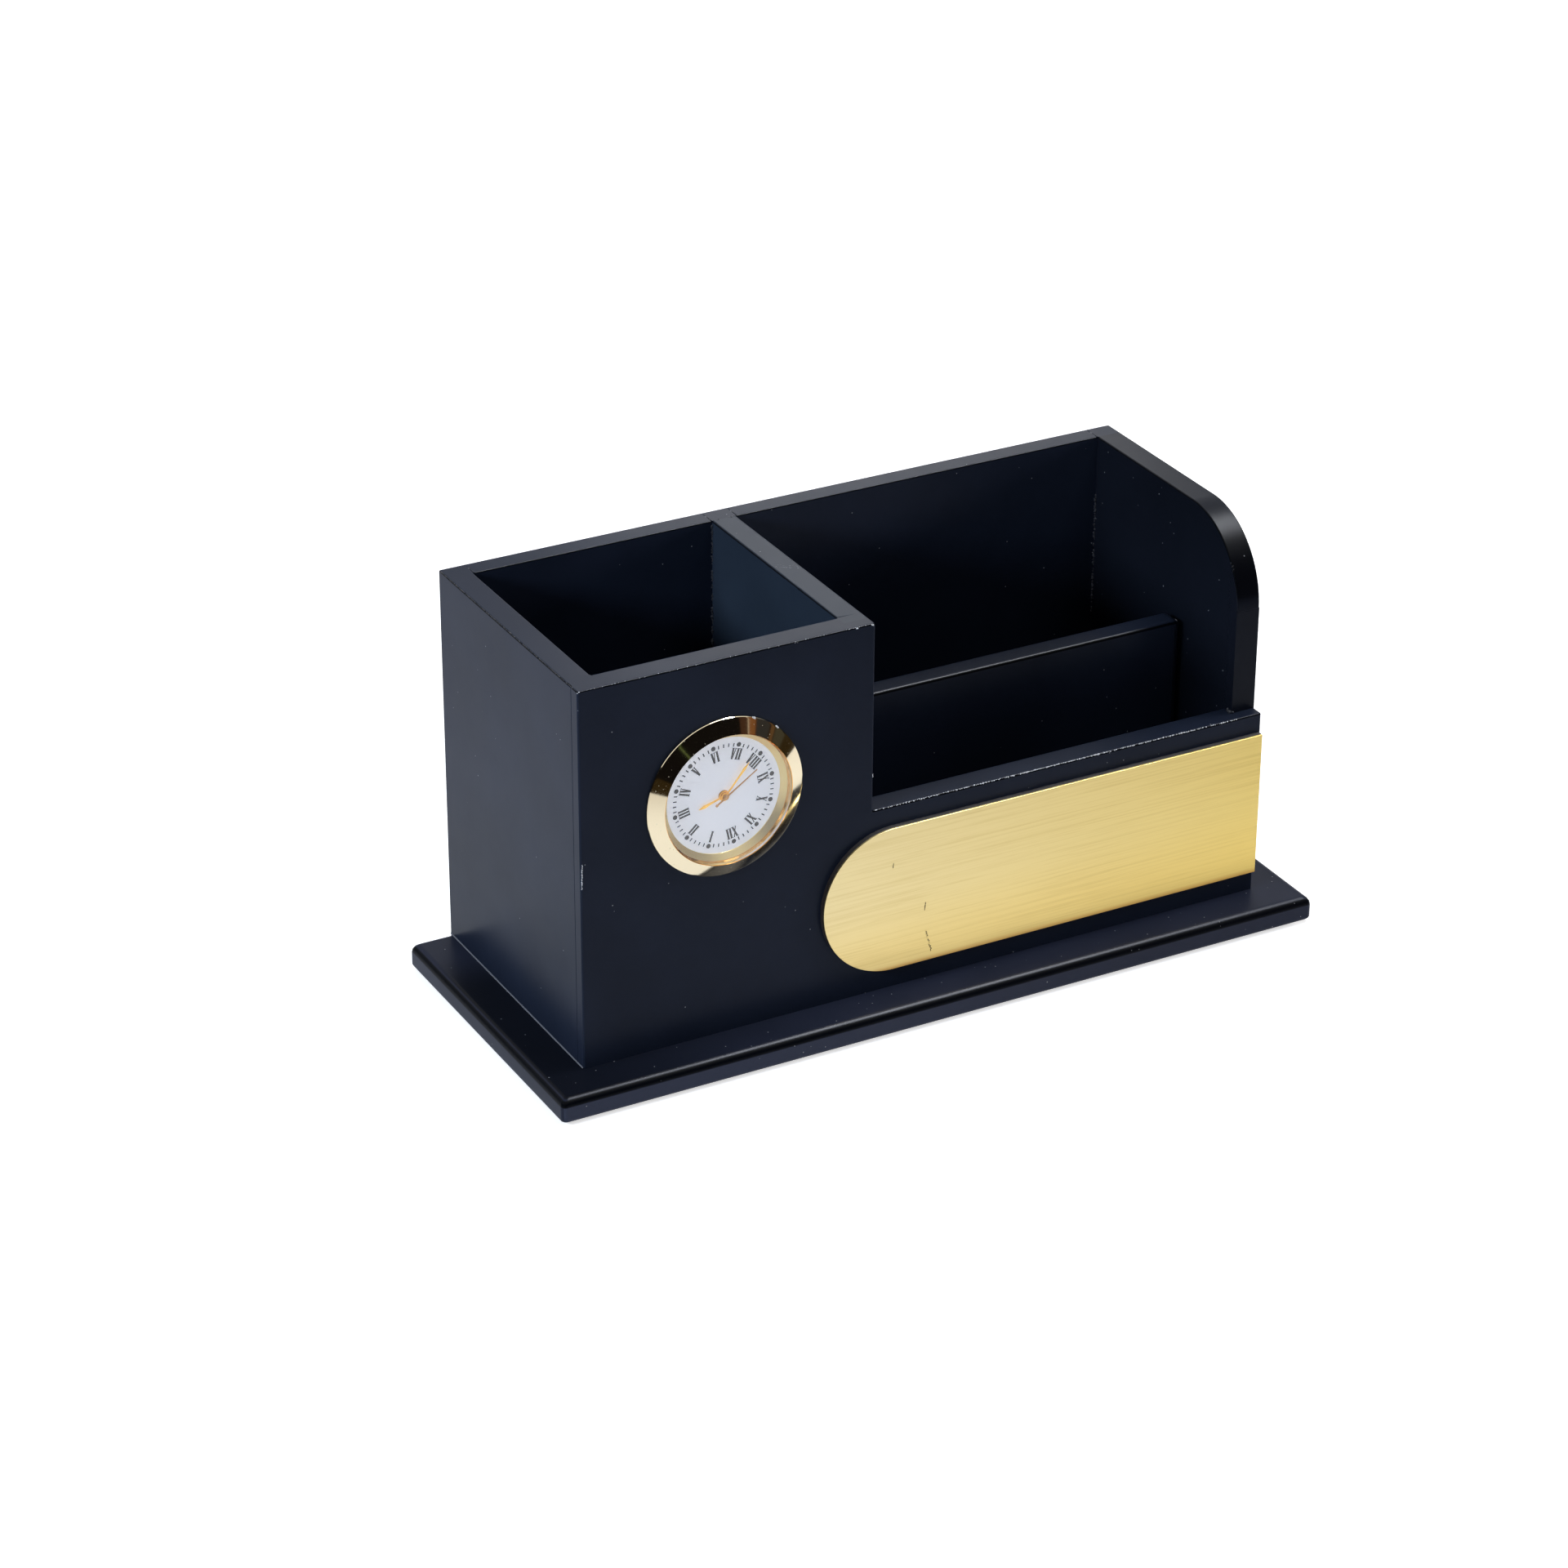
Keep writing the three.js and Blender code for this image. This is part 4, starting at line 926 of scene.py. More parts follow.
def letterStrokes(letter, left):
    # outlines of a letter's strokes and serifs, foot at zero
    s = printSizes
    top = s["numeralHeight"]
    head = top - s["serif"]
    if letter == "I":
        middle = left + s["widthOfI"] / 2
        return [slanted(middle, middle, s["thick"], top),
                serif(middle, 0, s["thick"]), serif(middle, head, s["thick"])]
    width = s["widthOf" + letter]
    inset = s["thick"] / 2 + s["serifReach"] / 2
    near, far = left + inset, left + width - inset
    if letter == "V":
        foot = left + width / 2
        return [slanted(foot - s["footShift"], near, s["thick"], top),
                slanted(foot + s["thinFootShift"], far, s["thin"], top),
                serif(near, head, s["thick"]), serif(far, head, s["thin"])]
    return [slanted(far, near, s["thick"], top), slanted(near, far, s["thin"], top),
            serif(near, head, s["thick"]), serif(far, head, s["thin"]),
            serif(near, 0, s["thin"]), serif(far, 0, s["thick"])]


def onDial(across, out, degrees):
    # a place in front of the dial: out from the centre along a direction clockwise from straight up
    angle = math.radians(degrees)
    x = out * math.sin(angle) + across * math.cos(angle)
    z = out * math.cos(angle) - across * math.sin(angle)
    return clockCentre.x + x * mm, clockCentre.z + z * mm


def makeNumerals(bm):
    s = printSizes
    front = clockCentre.y + insertSizes["dialDepth"] * mm - s["thickness"]
    hourTurn = 360 / len(numerals)
    for hour, numeral in enumerate(numerals):
        width = sum(s["widthOf" + letter] for letter in numeral)
        left = -width / 2
        for letter in numeral:
            for stroke in letterStrokes(letter, left):
                outline = [onDial(u, s["numeralFoot"] + v, hourTurn * hour + s["turn"]) for u, v in stroke]
                prism(bm, outline, front, front + 2 * s["thickness"])
            left += s["widthOf" + letter]


def nodeTree(name, inputs):
    # an empty geometry tree with its named inputs
    tree = bpy.data.node_groups.new(name, "GeometryNodeTree")
    kinds = {int: "NodeSocketInt", float: "NodeSocketFloat", Vector: "NodeSocketVector"}
    for label, value in inputs.items():
        tree.interface.new_socket(label, in_out="INPUT", socket_type=kinds[type(value)])
    tree.interface.new_socket("Geometry", in_out="OUTPUT", socket_type="NodeSocketGeometry")
    graph = Graph(tree)
    source = tree.nodes.new("NodeGroupInput")
    ways = {label: Wire(graph, source.outputs[label]) for label in inputs}
    return graph, ways


def closeTree(graph, shape, look):
    whole = graph.add("GeometryNodeRealizeInstances", {}, {"Geometry": shape})
    painted = graph.add("GeometryNodeSetMaterial", {}, {"Geometry": whole, "Material": look.material})
    graph.add("NodeGroupOutput", {}, {"Geometry": painted})
    return graph.tree


def growMesh(name, tree, inputs):
    # runs a tree on an empty object and keeps the plain mesh
    obj = bpy.data.objects.new(name + "_seed", bpy.data.meshes.new(name + "_seed"))
    scene.collection.objects.link(obj)
    modifier = obj.modifiers.new("grow", "NODES")
    modifier.node_group = tree
    for item in tree.interface.items_tree:
        if item.in_out == "INPUT":
            value = inputs[item.name]
            modifier[item.identifier] = list(value) if isinstance(value, Vector) else value
    graph = bpy.context.evaluated_depsgraph_get()
    mesh = bpy.data.meshes.new_from_object(obj.evaluated_get(graph), depsgraph=graph)
    mesh.name = name
    bpy.data.objects.remove(obj)
    return mesh


def dialMarksTree():
    # ticks on the minutes, and a dot in place of each tick that falls on an hour
    s = printSizes
    inputs = {"Tick Radius": 0.0, "Tick Width": 0.0, "Tick Length": 0.0, "Thickness": 0.0,
              "Dot Place": 0.0, "Dot Radius": 0.0, "Turn": 0.0}
    graph, way = nodeTree("dialMarks", inputs)
    index = graph.add("GeometryNodeInputIndex")
    angle = index * (math.tau / s["tickCount"]) + way["Turn"]
    onHour = graph.maths("COMPARE", graph.maths("MODULO", index, s["ticksAnHour"]), 0.0, 0.5)
    sine, cosine = graph.maths("SINE", angle), graph.maths("COSINE", angle)
    upright = graph.add("ShaderNodeCombineXYZ", {}, {"Y": angle})
    points = graph.add("GeometryNodePoints", {}, {"Count": s["tickCount"]})

    def spread(radius):
        spot = graph.add("ShaderNodeCombineXYZ", {}, {"X": radius * sine, "Z": radius * cosine})
        return graph.add("GeometryNodeSetPosition", {}, {"Geometry": points, "Position": spot})

    size = graph.add("ShaderNodeCombineXYZ", {}, {
        "X": way["Tick Width"], "Y": way["Thickness"], "Z": way["Tick Length"],
    })
    tick = graph.add("GeometryNodeMeshCube", {}, {"Size": size})
    ticks = graph.add("GeometryNodeInstanceOnPoints", {}, {
        "Points": spread(way["Tick Radius"]), "Selection": 1 - onHour, "Instance": tick, "Rotation": upright,
    })
    disc = graph.add("GeometryNodeMeshCylinder", {}, {
        "Vertices": s["dotSides"], "Radius": way["Dot Radius"], "Depth": way["Thickness"],
    })
    laid = graph.add("GeometryNodeTransform", {}, {"Geometry": disc, "Rotation": (math.pi / 2, 0.0, 0.0)})
    dots = graph.add("GeometryNodeInstanceOnPoints", {}, {
        "Points": spread(way["Dot Place"]), "Selection": onHour, "Instance": laid,
    })
    both = graph.add("GeometryNodeJoinGeometry", {}, {"Geometry": ticks})
    graph.tree.links.new(dots.socket, both.socket.node.inputs["Geometry"])
    return closeTree(graph, both, dialInk)


def makePrint():
    s = printSizes
    marks = growMesh("dial_marks", dialMarksTree(), {
        "Tick Radius": s["tickRadius"] * mm, "Tick Width": s["tickWidth"] * mm,
        "Tick Length": s["tickLength"] * mm, "Thickness": 2 * s["thickness"], "Dot Place": s["dotPlace"] * mm,
        "Dot Radius": s["dotRadius"] * mm, "Turn": math.radians(s["turn"]),
    })
    marks.transform(Matrix.Translation(clockCentre + place(0, insertSizes["dialDepth"], 0)))
    bm = bmesh.new()
    bm.from_mesh(marks)
    makeNumerals(bm)
    addPiece("dial_print", toMesh(bm, "dial_print"), dialInk, "insert")


makePrint()
print("dial printed")


# Hands: ridged leaves with a hub, a thin second hand with its cap, with their sizes in mm

handSizes = {
    "ridgeShare": 0.3,
    "hubSegments": 40,
    "hubEase": 0.12,
    "hubShoulder": 0.07,
    "capHeight": 0.22,
    "capShares": [(0.5, 1.0), (0.85, 0.6)],
    "tailRadius": 0.36,
    "tailEase": 0.05,
    "tailSegments": 24,
    "sharp": 20.0,
}
hands = [
    {"name": "hour_leaf", "node": "hour_hand", "body": "hours", "look": handGold, "slot": "hand_gold",
     "turn": 252.9, "stations": [(0, 0.2), (3.4, 0.24), (5.0, 0.42), (6.4, 0.02)], "hub": 1.2, "bore": 0.98},
    {"name": "minute_leaf", "node": "minute_hand", "body": "minutes", "look": handGold, "slot": "hand_gold",
     "turn": 39.9, "stations": [(0, 0.18), (5.6, 0.22), (7.2, 0.34), (9.0, 0.02)], "hub": 0.95, "bore": 0.63},
    {"name": "second_needle", "node": "second_hand", "body": "seconds", "look": handCopper,
     "slot": "hand_copper", "turn": 56.4, "stations": [(-2.6, 0.2), (0, 0.22), (8.9, 0.13)], "hub": 0.6,
     "bore": 0},
]


def handBlade(bm, stations, turn, front, back):
    # a bar along its stations whose front rises to a ridge
    shoulder = back + (front - back) * (1 - handSizes["ridgeShare"])
    rings = []
    for out, half in stations:
        ring = [(-half, back), (half, back), (half, shoulder), (0, front), (-half, shoulder)]
        corners = []
        for across, depth in ring:
            x, z = onDial(across, out, turn)
            corners.append(bm.verts.new((x, depth, z)))
        rings.append(corners)
    for first, second in zip(rings, rings[1:]):
        for index in range(len(first)):
            after = (index + 1) % len(first)
            bm.faces.new((first[index], first[after], second[after], second[index]))
    bm.faces.new(rings[0])
    bm.faces.new(rings[-1][::-1])


def hubProfile(hand, near, far):
    # a bored disc, or a cap where the hand has no bore
    s = handSizes
    hub, bore = hand["hub"], hand["bore"]
    if bore:
        return [(bore, near), (hub - s["hubEase"], near), (hub, near + s["hubShoulder"]),
                (hub, far), (bore, far)]
    cap = [(hub * out, near - s["capHeight"] * rise) for out, rise in s["capShares"]]
    return [(0, near - s["capHeight"]), *cap, (hub, near), (hub, far), (0, far)]


def tailMesh(hand, near, far):
    # the small disc on the second hand's tail
    s = handSizes
    x, z = onDial(0, hand["stations"][0][0], hand["turn"])
    disc = [(0, near), (s["tailRadius"] - s["tailEase"], near), (s["tailRadius"], (near + far) / 2),
            (s["tailRadius"], far), (0, far)]
    return turnedMesh(hand["name"] + "_tail", disc, s["tailSegments"], Vector((x, clockCentre.y, z)))


def makeHand(hand):
    low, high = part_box(hand["node"])
    near, far = [(value - clockCentre.y) / mm for value in (low.y, high.y)]
    bm = bmesh.new()
    bm.from_mesh(turnedMesh(hand["name"] + "_hub", hubProfile(hand, near, far), handSizes["hubSegments"]))
    handBlade(bm, hand["stations"], hand["turn"], low.y, high.y)
    if not hand["bore"]:
        bm.from_mesh(tailMesh(hand, near, far))
    mesh = toMesh(bm, hand["name"], handSizes["sharp"])
    addPiece(hand["name"], mesh, hand["look"], hand["body"], [hand["node"]])


for handSettings in hands:
    makeHand(handSettings)
print("hands made")


# Everything else keeps its form, with its flat faces joined and its arrises eased

slotLooks = {
    "felt": feltCloth,
    "steel": steelBright,
    "rubber": rubberBlack,
    "black_plastic": blackMould,
    "white_plastic": whiteMould,
    "copper_wire": copperWire,
    "circuit": boardGreen,
    "brass": brassBright,
    "magnet": magnetGrey,
}
keptSizes = {"sharp": 28.0, "easeSteps": 2}
keptPieces = [  # node, body, slot, ease
    ("base_felt", "case", "felt", 0.15 * mm),
    *[("base_screw_" + str(number), "case", "steel", 0.1 * mm) for number in range(1, 5)],
    ("grip_band", "grip", "rubber", 0.12 * mm),
    ("clock_cup", "insert", "black_plastic", 0.15 * mm),
    ("battery_cover", "cell_cover", "black_plastic", 0.12 * mm),
    ("setting_knob", "setter", "white_plastic", 0.0),
    ("front_plate", "insert", "white_plastic", 0.0),
    ("back_plate", "insert", "black_plastic", 0.0),
    ("stator", "insert", "steel", 0.0),
    ("coil", "insert", "copper_wire", 0.0),
    ("coil_core", "insert", "steel", 0.0),
    ("circuit_board", "insert", "circuit", 0.0),
    ("quartz_crystal", "insert", "steel", 0.0),
    ("timing_chip", "insert", "black_plastic", 0.0),
    ("cap_contact", "insert", "brass", 0.0),
    ("wall_contact", "insert", "brass", 0.0),
    *[("plate_screw_" + str(number), "insert", "steel", 0.0) for number in range(1, 4)],
    ("button_cell", "insert", "steel", 0.1 * mm),
    ("hour_wheel", "hours", "brass", 0.0),
    ("centre_wheel", "minutes", "brass", 0.0),
    ("second_wheel", "seconds", "brass", 0.0),
    ("minute_wheel", "motion", "brass", 0.0),
    ("third_wheel", "third", "brass", 0.0),
    ("step_wheel", "step", "brass", 0.0),
    ("rotor", "magnet", "magnet", 0.0),
]


def makeKeptPieces():
    for node, body, slot, ease in keptPieces:
        mesh = toMesh(mergedCopy(node), node + "_smooth", keptSizes["sharp"])
        obj = addPiece(node + "_smooth", mesh, slotLooks[slot], body, [node])
        if ease:
            bevelEdges(obj, ease, keptSizes["easeSteps"])


makeKeptPieces()
print("kept pieces made")


# Wear and painted glints: chips, filler and scratches, and pale lumps painted as glints on arrises, each a
# run of small lumps between two places in mm

wearSizes = [
    {"name": "left_edge_chip", "from": (0.25, 0.02, 43.3), "to": (0.4, 0.02, 49.2), "count": 70,
     "spread": 0.1, "lumps": (0.04, 0.13)},
    {"name": "divider_edge_chip", "from": (69.8, 0.05, 52.9), "to": (69.85, 0.05, 53.8), "count": 14,
     "spread": 0.08, "lumps": (0.05, 0.12)},
    # painted highlights: pale lumps for glints on the rim's front arris
    {"name": "rim_glint_left", "from": (65.5, 0.1, 89.2), "to": (65.8, 0.1, 89.2), "count": 8,
     "spread": 0.06, "lumps": (0.08, 0.18)},
    {"name": "rim_glint_right", "from": (69.1, 0.1, 89.2), "to": (69.5, 0.1, 89.2), "count": 10,
     "spread": 0.06, "lumps": (0.08, 0.2)},
    {"name": "rim_mark", "from": (50.6, 0.1, 89.2), "to": (51.4, 0.1, 89.2), "count": 12,
     "spread": 0.05, "lumps": (0.06, 0.12)},
    # painted highlight: pale lumps for a glint on the top left corner
    {"name": "corner_glint", "from": (0.2, 0.3, 89.2), "to": (0.6, 0.2, 89.3), "count": 12,
     "spread": 0.08, "lumps": (0.08, 0.18)},
    {"name": "low_arris_chips", "from": (70.6, 0.1, 44.72), "to": (163.5, 0.1, 44.72), "count": 340,
     "spread": 0.06, "lumps": (0.04, 0.17)},
    {"name": "low_arris_bare", "from": (106.0, 0.1, 44.74), "to": (125.0, 0.1, 44.74), "count": 190,
     "spread": 0.06, "lumps": (0.03, 0.09)},
    {"name": "rim_arris_chips", "from": (1.0, 0.1, 89.42), "to": (69.0, 0.1, 89.42), "count": 60,
     "spread": 0.06, "lumps": (0.03, 0.08)},
    # painted shade: a dark line along the left rim's outer arris, where it would mirror dark surroundings
    {"name": "left_rim_painted_shade", "from": (0.1, 1.0, 89.4), "to": (0.1, 66.8, 89.4), "count": 470,
     "spread": 0.03, "lumps": (0.06, 0.13), "look": arrisDark},
    {"name": "divider_scratch", "from": (64.9, 34.7, 89.5), "to": (69.2, 31.5, 89.5), "count": 40,
     "spread": 0.03, "lumps": (0.015, 0.035)},
    {"name": "divider_scratch_again", "from": (65.3, 35.6, 89.5), "to": (69.4, 32.6, 89.5), "count": 24,
     "spread": 0.03, "lumps": (0.015, 0.03)},
    {"name": "pen_bay_seam", "from": (63.95, 62.4, 50.0), "to": (63.95, 62.4, 89.2), "count": 130,
     "spread": 0.16, "lumps": (0.12, 0.34), "look": fillerDark},
    {"name": "slot_seam", "from": (163.95, 62.4, 45.0), "to": (163.95, 62.4, 75.0), "count": 110,
     "spread": 0.16, "lumps": (0.12, 0.34), "look": fillerDark},
    {"name": "rim_filler", "from": (64.2, 62.5, 89.42), "to": (69.8, 62.5, 89.42), "count": 26,
     "spread": 0.12, "lumps": (0.05, 0.16), "look": fillerDark},
    {"name": "glue_blob", "from": (164.0, 3.0, 44.9), "to": (164.3, 5.2, 45.0), "count": 22,
     "spread": 0.22, "lumps": (0.2, 0.5), "look": fillerDark},
    {"name": "partition_mark", "from": (162.6, 24.2, 58.9), "to": (162.8, 25.6, 59.0), "count": 12,
     "spread": 0.08, "lumps": (0.04, 0.12)},
    {"name": "plate_scratch_1", "from": (74.45, -1.63, 31.8), "to": (74.3, -1.63, 30.5), "count": 40,
     "spread": 0.04, "lumps": (0.03, 0.08), "look": markBrown},
    {"name": "plate_scratch_2", "from": (82.7, -1.63, 19.9), "to": (82.45, -1.63, 17.9), "count": 56,
     "spread": 0.05, "lumps": (0.03, 0.09), "look": markBrown},
    {"name": "plate_scratch_3", "from": (82.9, -1.63, 12.6), "to": (84.3, -1.63, 7.4), "count": 80,
     "spread": 0.2, "lumps": (0.03, 0.1), "look": markBrown},
]
bezelWear = [
    {"name": "bezel_burr_1", "degrees": 48.0, "spreadDegrees": 1.5, "count": 16, "spread": 0.08,
     "lumps": (0.08, 0.22)},
    {"name": "bezel_burr_2", "degrees": 68.5, "spreadDegrees": 0.8, "count": 16, "spread": 0.08,
     "lumps": (0.1, 0.28)},
]
wearShape = {"subdivisions": 2, "lumpShares": (0.5, 1.3), "firstSeed": 100, "seedStep": 10}
seamHighlightSizes = {"width": 0.22 * mm, "inset": 0.4 * mm}


def wearTree(look):
    inputs = {"Start": Vector(), "End": Vector(), "Count": 0, "Spread": 0.0, "Smallest": 0.0, "Largest": 0.0,
              "Seed": 0}
    graph, way = nodeTree("wear_" + look.material.name, inputs)

    def chance(least, most, shift):
        sockets = {2: least, 3: most, "Seed": way["Seed"] + shift}
        return graph.add("FunctionNodeRandomValue", {"data_type": "FLOAT"}, sockets, 1)

    def chances(least, most, shift):
        # the same for each of a vector's three parts
        sockets = {0: (least,) * 3, 1: (most,) * 3, "Seed": way["Seed"] + shift}
        return graph.add("FunctionNodeRandomValue", {"data_type": "FLOAT_VECTOR"}, sockets, 0)

    def scaled(vector, size):
        return graph.add("ShaderNodeVectorMath", {"operation": "SCALE"}, {0: vector, "Scale": size})

    share = chance(0.0, 1.0, 1)
    line = graph.add("ShaderNodeMix", {"data_type": "VECTOR"}, {0: share, 4: way["Start"], 5: way["End"]}, 1)
    stray = scaled(chances(-1.0, 1.0, 2), way["Spread"])
    spot = graph.add("ShaderNodeVectorMath", {"operation": "ADD"}, {0: line, 1: stray})
    points = graph.add("GeometryNodePoints", {}, {"Count": way["Count"], "Position": spot})
    ball = {"Radius": 1.0, "Subdivisions": wearShape["subdivisions"]}
    lump = graph.add("GeometryNodeMeshIcoSphere", {}, ball)
    size = scaled(chances(*wearShape["lumpShares"], 3), chance(way["Smallest"], way["Largest"], 4))
    turn = chances(0.0, math.tau, 5)
    lumps = graph.add("GeometryNodeInstanceOnPoints", {}, {
        "Points": points, "Instance": lump, "Rotation": turn, "Scale": size,
    })
    return closeTree(graph, lumps, look)


def makeSeamHighlight():
    # painted highlight: a pale line of lacquer where the left side meets the base, for the light its bottom
    # arris catches
    width, inset = seamHighlightSizes["width"], seamHighlightSizes["inset"]
    bm = bmesh.new()
    outline = [(boxLeft - width, boxFloor), (boxLeft, boxFloor), (boxLeft, boxFloor + width)]
    prism(bm, outline, boxFront + inset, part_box("base_board")[1].y - inset)
    addPiece("left_seam_highlight", toMesh(bm, "left_seam_highlight"), seamLine, "case")


def onRim(degrees):
    # a place on the rim of the bezel
    angle = math.radians(degrees)
    out = insertSizes["bezelRadius"] - insertSizes["rollWidth"]
    return clockCentre + place(out * math.cos(angle), -insertSizes["rimHeight"], out * math.sin(angle))


def makeWear():
    corner = Vector((boxLeft, boxFront, boxFloor))
    runs = []
    for run in wearSizes:
        runs.append(dict(run, start=corner + place(*run["from"]), end=corner + place(*run["to"])))
    for burr in bezelWear:
        start, end = [onRim(burr["degrees"] + way * burr["spreadDegrees"]) for way in (-1, 1)]
        runs.append(dict(burr, start=start, end=end, body="insert", slot="polished_gold"))
    trees = {}
    for index, run in enumerate(runs):
        look = run.get("look", paleDust)
        if look not in trees:
            trees[look] = wearTree(look)
        mesh = growMesh(run["name"], trees[look], {
            "Start": run["start"], "End": run["end"], "Count": run["count"], "Spread": run["spread"] * mm,
            "Smallest": run["lumps"][0] * mm, "Largest": run["lumps"][1] * mm,
            "Seed": wearShape["firstSeed"] + wearShape["seedStep"] * index,
        })
        mesh.shade_smooth()
        addPiece(run["name"], mesh, look, run.get("body", "case"))


makeSeamHighlight()
makeWear()
print("wear made")


# Floor, light and camera

studio = {
    "floorSize": 8.0,
    "floorColour": (0.85, 0.85, 0.85, 1.0),
    "floorLift": 0.64,
    "mirroredLift": 0.52,
    "ambient": (0.103, 0.108, 0.12, 1.0),
    "softboxes": [
        {"name": "topBox", "shines": True, "place": (0.3, 0.05, 1.3), "size": (1.8, 0.5), "power": 8.3,
         "colour": (0.92, 0.96, 1.0)},
        {"name": "edgeBox", "shines": True, "lights": False, "place": (0.56, -0.05, 1.22),
         "size": (0.5, 0.25), "power": 34.0, "colour": (0.93, 0.96, 1.0)},
        {"name": "leftBox", "shines": False, "place": (-0.45, -0.06, 0.25), "size": (0.3, 0.08),
         "power": 0.26, "colour": (0.75, 0.87, 1.0), "spread": 50.0},
        {"name": "rightBox", "shines": False, "place": (2.9, -0.4, 0.7), "size": (1.2, 0.7), "power": 76.0,
         "colour": (1.0, 0.93, 0.92)},
        {"name": "rimBox", "shines": True, "place": (0.16, 0.28, 0.26), "size": (0.16, 0.16), "power": 0.2},
    ],
    "streaks": [
        {"from": 60.5, "to": 66.0, "colour": paint(70, 68, 58)},
        {"from": 57.8, "to": 60.0, "colour": paint(104, 78, 52)},
        {"from": 48.6, "to": 57.0, "colour": paint(54, 54, 56)},
        {"from": 43.8, "to": 48.2, "colour": paint(132, 88, 54)},
        {"from": 42.6, "to": 43.6, "colour": paint(190, 172, 156)},
        {"from": 37.0, "to": 42.2, "colour": paint(72, 50, 38)},
        {"from": -9.6, "to": -8.6, "colour": paint(100, 116, 74)},
        {"from": -54.0, "to": -49.5, "colour": (1.0, 1.0, 1.0, 1.0), "strength": 2.6},
    ],
    "aim": (0, 0, 0.05),
    "streakAway": 0.6,
    "streakFoot": 2 * mm,
    "streakHeight": 0.5,
    "wallRadius": 1.6,
    "wallFrontTop": 36.0,
    "wallBackTop": 12.0,
    "wallSteps": 72,
    "tableLeft": (-154 * mm, -290 * mm, 1 * mm),
    "tableRight": (228 * mm, -145 * mm, 1 * mm),
    "tableReach": 1.4,
    "dark": (0.007, 0.006, 0.006, 1.0),
    "table": (0.034, 0.023, 0.009, 1.0),
}


def glowLook(name, colour, strength=1.0):
    look = Look(name)
    look.swap(look.add("ShaderNodeEmission", {}, {"Color": colour, "Strength": strength}))
    return look


def rayKinds(graph, *kinds):
    # 1 for a ray of that kind, 0 for any other
    return [graph.add("ShaderNodeLightPath", {}, {}, "Is " + kind + " Ray") for kind in kinds]


def stagePiece(name, bm, look):
    mesh = bpy.data.meshes.new(name)
    bm.to_mesh(mesh)
    bm.free()
    mesh.materials.append(look.material)
    obj = bpy.data.objects.new(name, mesh)
    scene.collection.objects.link(obj)
    return obj


def hideAllButGloss(obj):
    obj.visible_camera = False
    obj.visible_diffuse = False
    obj.visible_transmission = False
    obj.visible_shadow = False


def mirroredPiece(name, corners, look):
    # a sheet that nothing shows but the gloss of the gold and the lacquer
    bm = bmesh.new()
    bm.faces.new([bm.verts.new(corner) for corner in corners])
    hideAllButGloss(stagePiece(name, bm, look))


def makeFloor():
    look = Look("paleFloor")
    seen, glossy, through = rayKinds(look, "Camera", "Glossy", "Transmission")
    paper = look.add("ShaderNodeBsdfDiffuse", {}, {"Color": studio["floorColour"]})
    strength = (seen + through) * studio["floorLift"] + glossy * studio["mirroredLift"]
    lift = look.add("ShaderNodeEmission", {}, {"Strength": strength})
    look.swap(look.add("ShaderNodeAddShader", {}, {0: paper, 1: lift}))
    bm = bmesh.new()
    bmesh.ops.create_grid(bm, x_segments=1, y_segments=1, size=studio["floorSize"] / 2)
    stagePiece("floor", bm, look)


def makeWall():
    # dark surroundings, higher in front of the object than behind it
    bm = bmesh.new()
    rings = []
    for step in range(studio["wallSteps"]):
        angle = math.tau * step / studio["wallSteps"]
        front = (1 - math.cos(angle - math.pi / 2)) / 2
        top = studio["wallBackTop"] + (studio["wallFrontTop"] - studio["wallBackTop"]) * front
        x, y = studio["wallRadius"] * math.cos(angle), studio["wallRadius"] * math.sin(angle)
        height = studio["wallRadius"] * math.tan(math.radians(top))
        rings.append((bm.verts.new((x, y, 0.0)), bm.verts.new((x, y, height))))
    for step, (low, high) in enumerate(rings):
        nextLow, nextHigh = rings[(step + 1) % len(rings)]
        bm.faces.new((low, nextLow, nextHigh, high))
    hideAllButGloss(stagePiece("dark_wall", bm, glowLook("darkFlag", studio["dark"])))


def makeTable():
    # dark ground in front of the object, on the far side of a slanting line
    left, right = Vector(studio["tableLeft"]), Vector(studio["tableRight"])
    along = (right - left).normalized() * studio["tableReach"]
    away = Vector((along.y, -along.x, 0))
    corners = [left - along, right + along, right + along + away, left - along + away]
    mirroredPiece("dark_floor", corners, glowLook("darkTable", studio["table"]))


def makeStreaks():
    # upright strips of colour that only the polished gold shows, seen from the clock
    for index, streak in enumerate(studio["streaks"]):
        corners = []
        left, right = streak["from"], streak["to"]
        for degrees, height in ((left, 0), (right, 0), (right, 1), (left, 1)):
            angle = math.radians(degrees)
            x = clockCentre.x + studio["streakAway"] * math.sin(angle)
            y = clockCentre.y - studio["streakAway"] * math.cos(angle)
            corners.append((x, y, studio["streakFoot"] + height * studio["streakHeight"]))
        number = str(index + 1)
        look = glowLook("streak" + number, streak["colour"], streak.get("strength", 1.0))
        mirroredPiece("streak_" + number, corners, look)


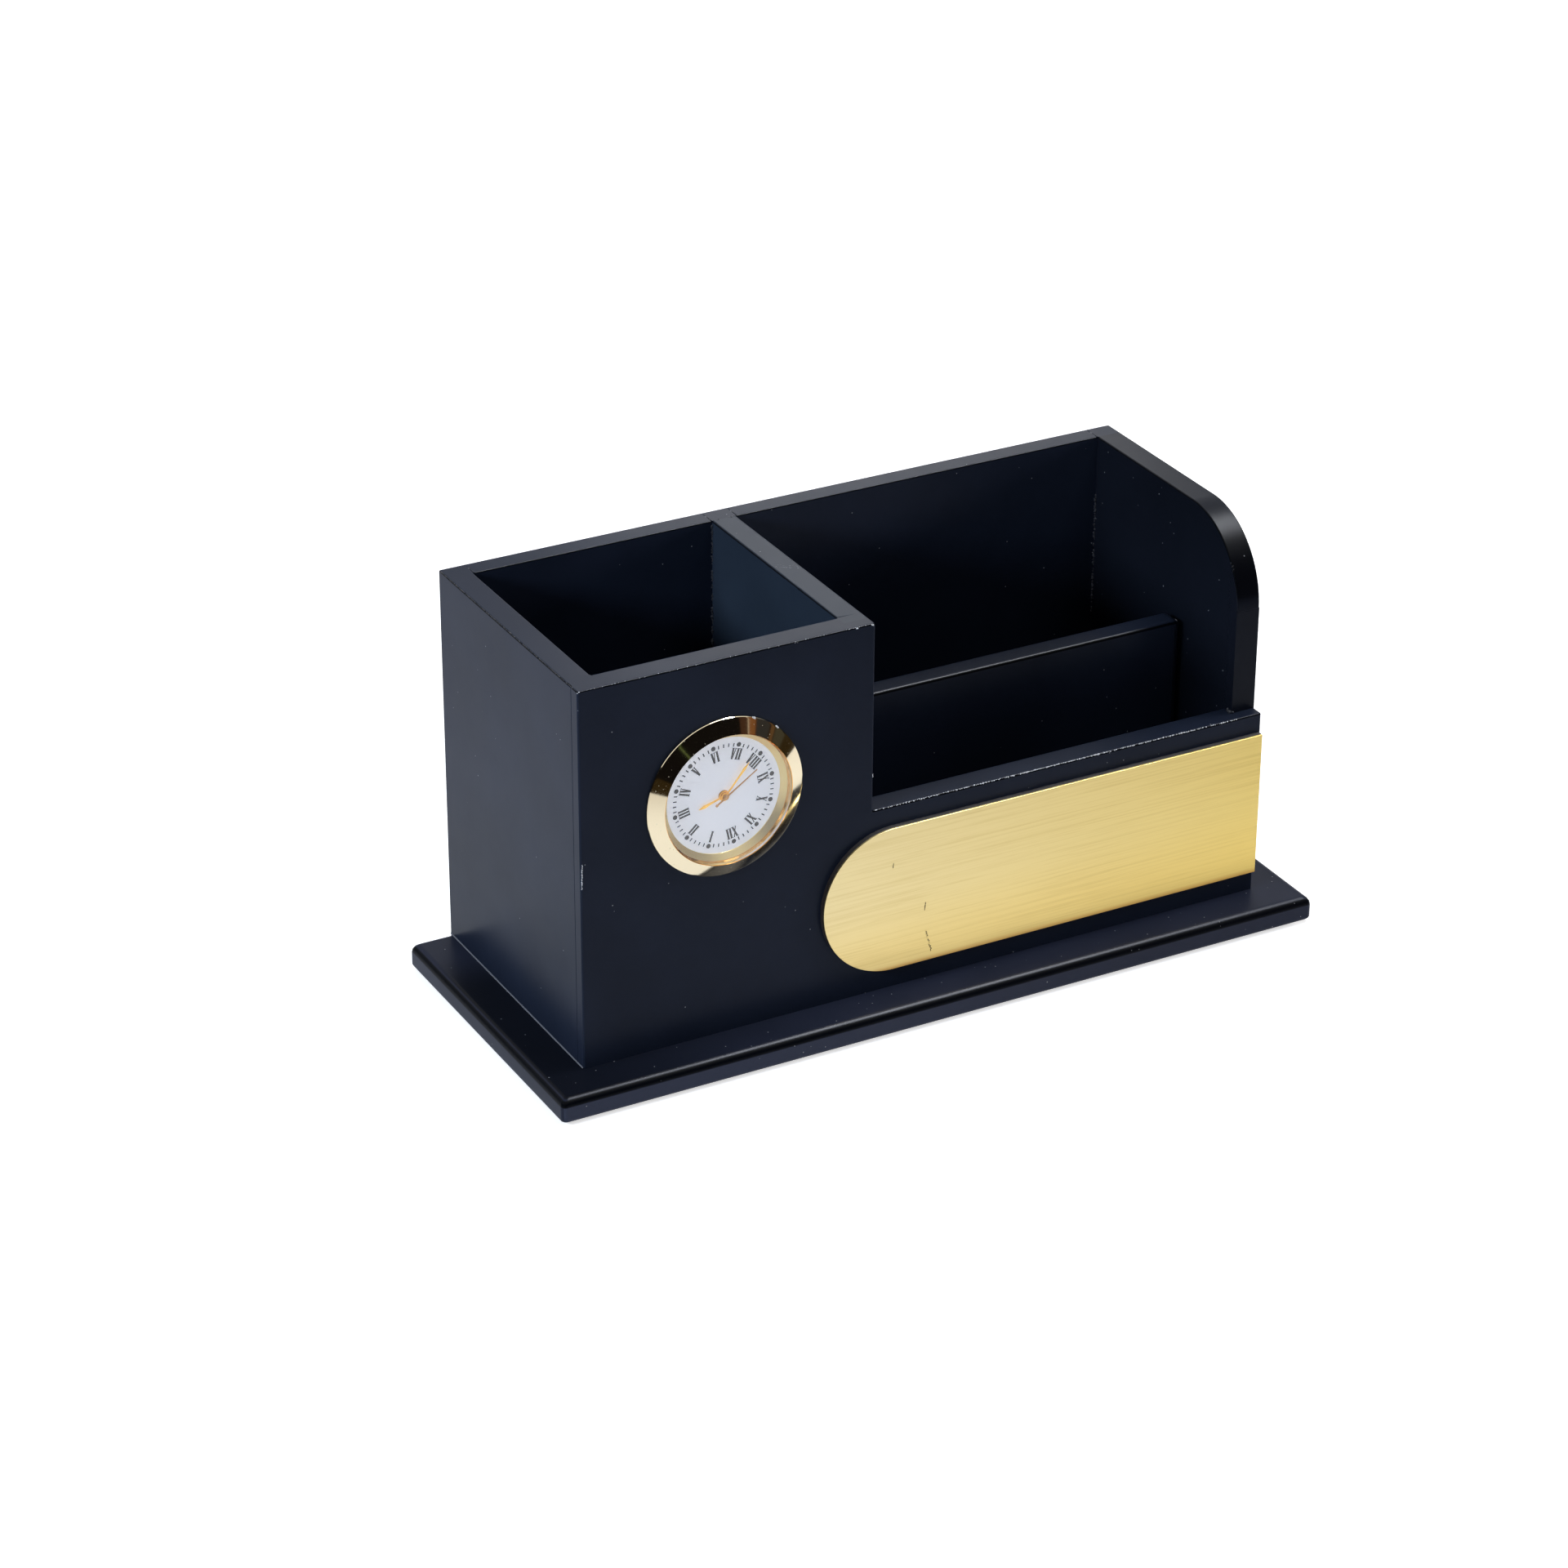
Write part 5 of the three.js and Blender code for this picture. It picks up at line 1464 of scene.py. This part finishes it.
def makeWorld():
    world = bpy.data.worlds.new("studio")
    world.use_nodes = True
    scene.world = world
    world.node_tree.nodes.clear()
    graph = Graph(world.node_tree)
    seen, glossy, through = rayKinds(graph, "Camera", "Glossy", "Transmission")
    white = graph.add("ShaderNodeBackground", {}, {"Color": (1.0, 1.0, 1.0, 1.0), "Strength": 1.0})
    ambient = graph.add("ShaderNodeBackground", {}, {"Color": studio["ambient"], "Strength": 1.0})
    plain = graph.maths("MAXIMUM", seen, graph.maths("MAXIMUM", glossy, through))
    mixed = graph.add("ShaderNodeMixShader", {}, {0: plain, 1: ambient, 2: white})
    graph.add("ShaderNodeOutputWorld", {}, {"Surface": mixed})


def makeLamps():
    for box in studio["softboxes"]:
        lamp = bpy.data.lights.new(box["name"], "AREA")
        lamp.energy = box["power"]
        lamp.color = box.get("colour", (1.0, 1.0, 1.0))
        lamp.shape = "RECTANGLE"
        lamp.size, lamp.size_y = box["size"]
        lamp.spread = math.radians(box.get("spread", 180.0))
        softbox = bpy.data.objects.new(box["name"], lamp)
        scene.collection.objects.link(softbox)
        softbox.location = box["place"]
        heading = Vector(studio["aim"]) - Vector(box["place"])
        softbox.rotation_euler = heading.to_track_quat("-Z", "Y").to_euler()
        softbox.visible_glossy = box["shines"]
        softbox.visible_diffuse = box.get("lights", True)


view = {
    "place": (-457.323 * mm, -798.831 * mm, 518.815 * mm),
    "target": (-18.232 * mm, 5.25 * mm, 43.132 * mm),
    "roll": 0.258,
    "lens": 107.18,
    "sensor": 36.0,
}


def makeCamera():
    camera = bpy.data.cameras.new("camera")
    camera.lens = view["lens"]
    camera.sensor_width = view["sensor"]
    obj = bpy.data.objects.new("camera", camera)
    scene.collection.objects.link(obj)
    obj.location = view["place"]
    heading = (Vector(view["target"]) - Vector(view["place"])).to_track_quat("-Z", "Y")
    obj.rotation_mode = "QUATERNION"
    obj.rotation_quaternion = heading @ Quaternion((0, 0, 1), math.radians(view["roll"]))
    scene.camera = obj
    scene.view_settings.view_transform = "Standard"


makeFloor()
makeWall()
makeTable()
makeStreaks()
makeWorld()
makeLamps()
makeCamera()
print("floor, light and camera made")
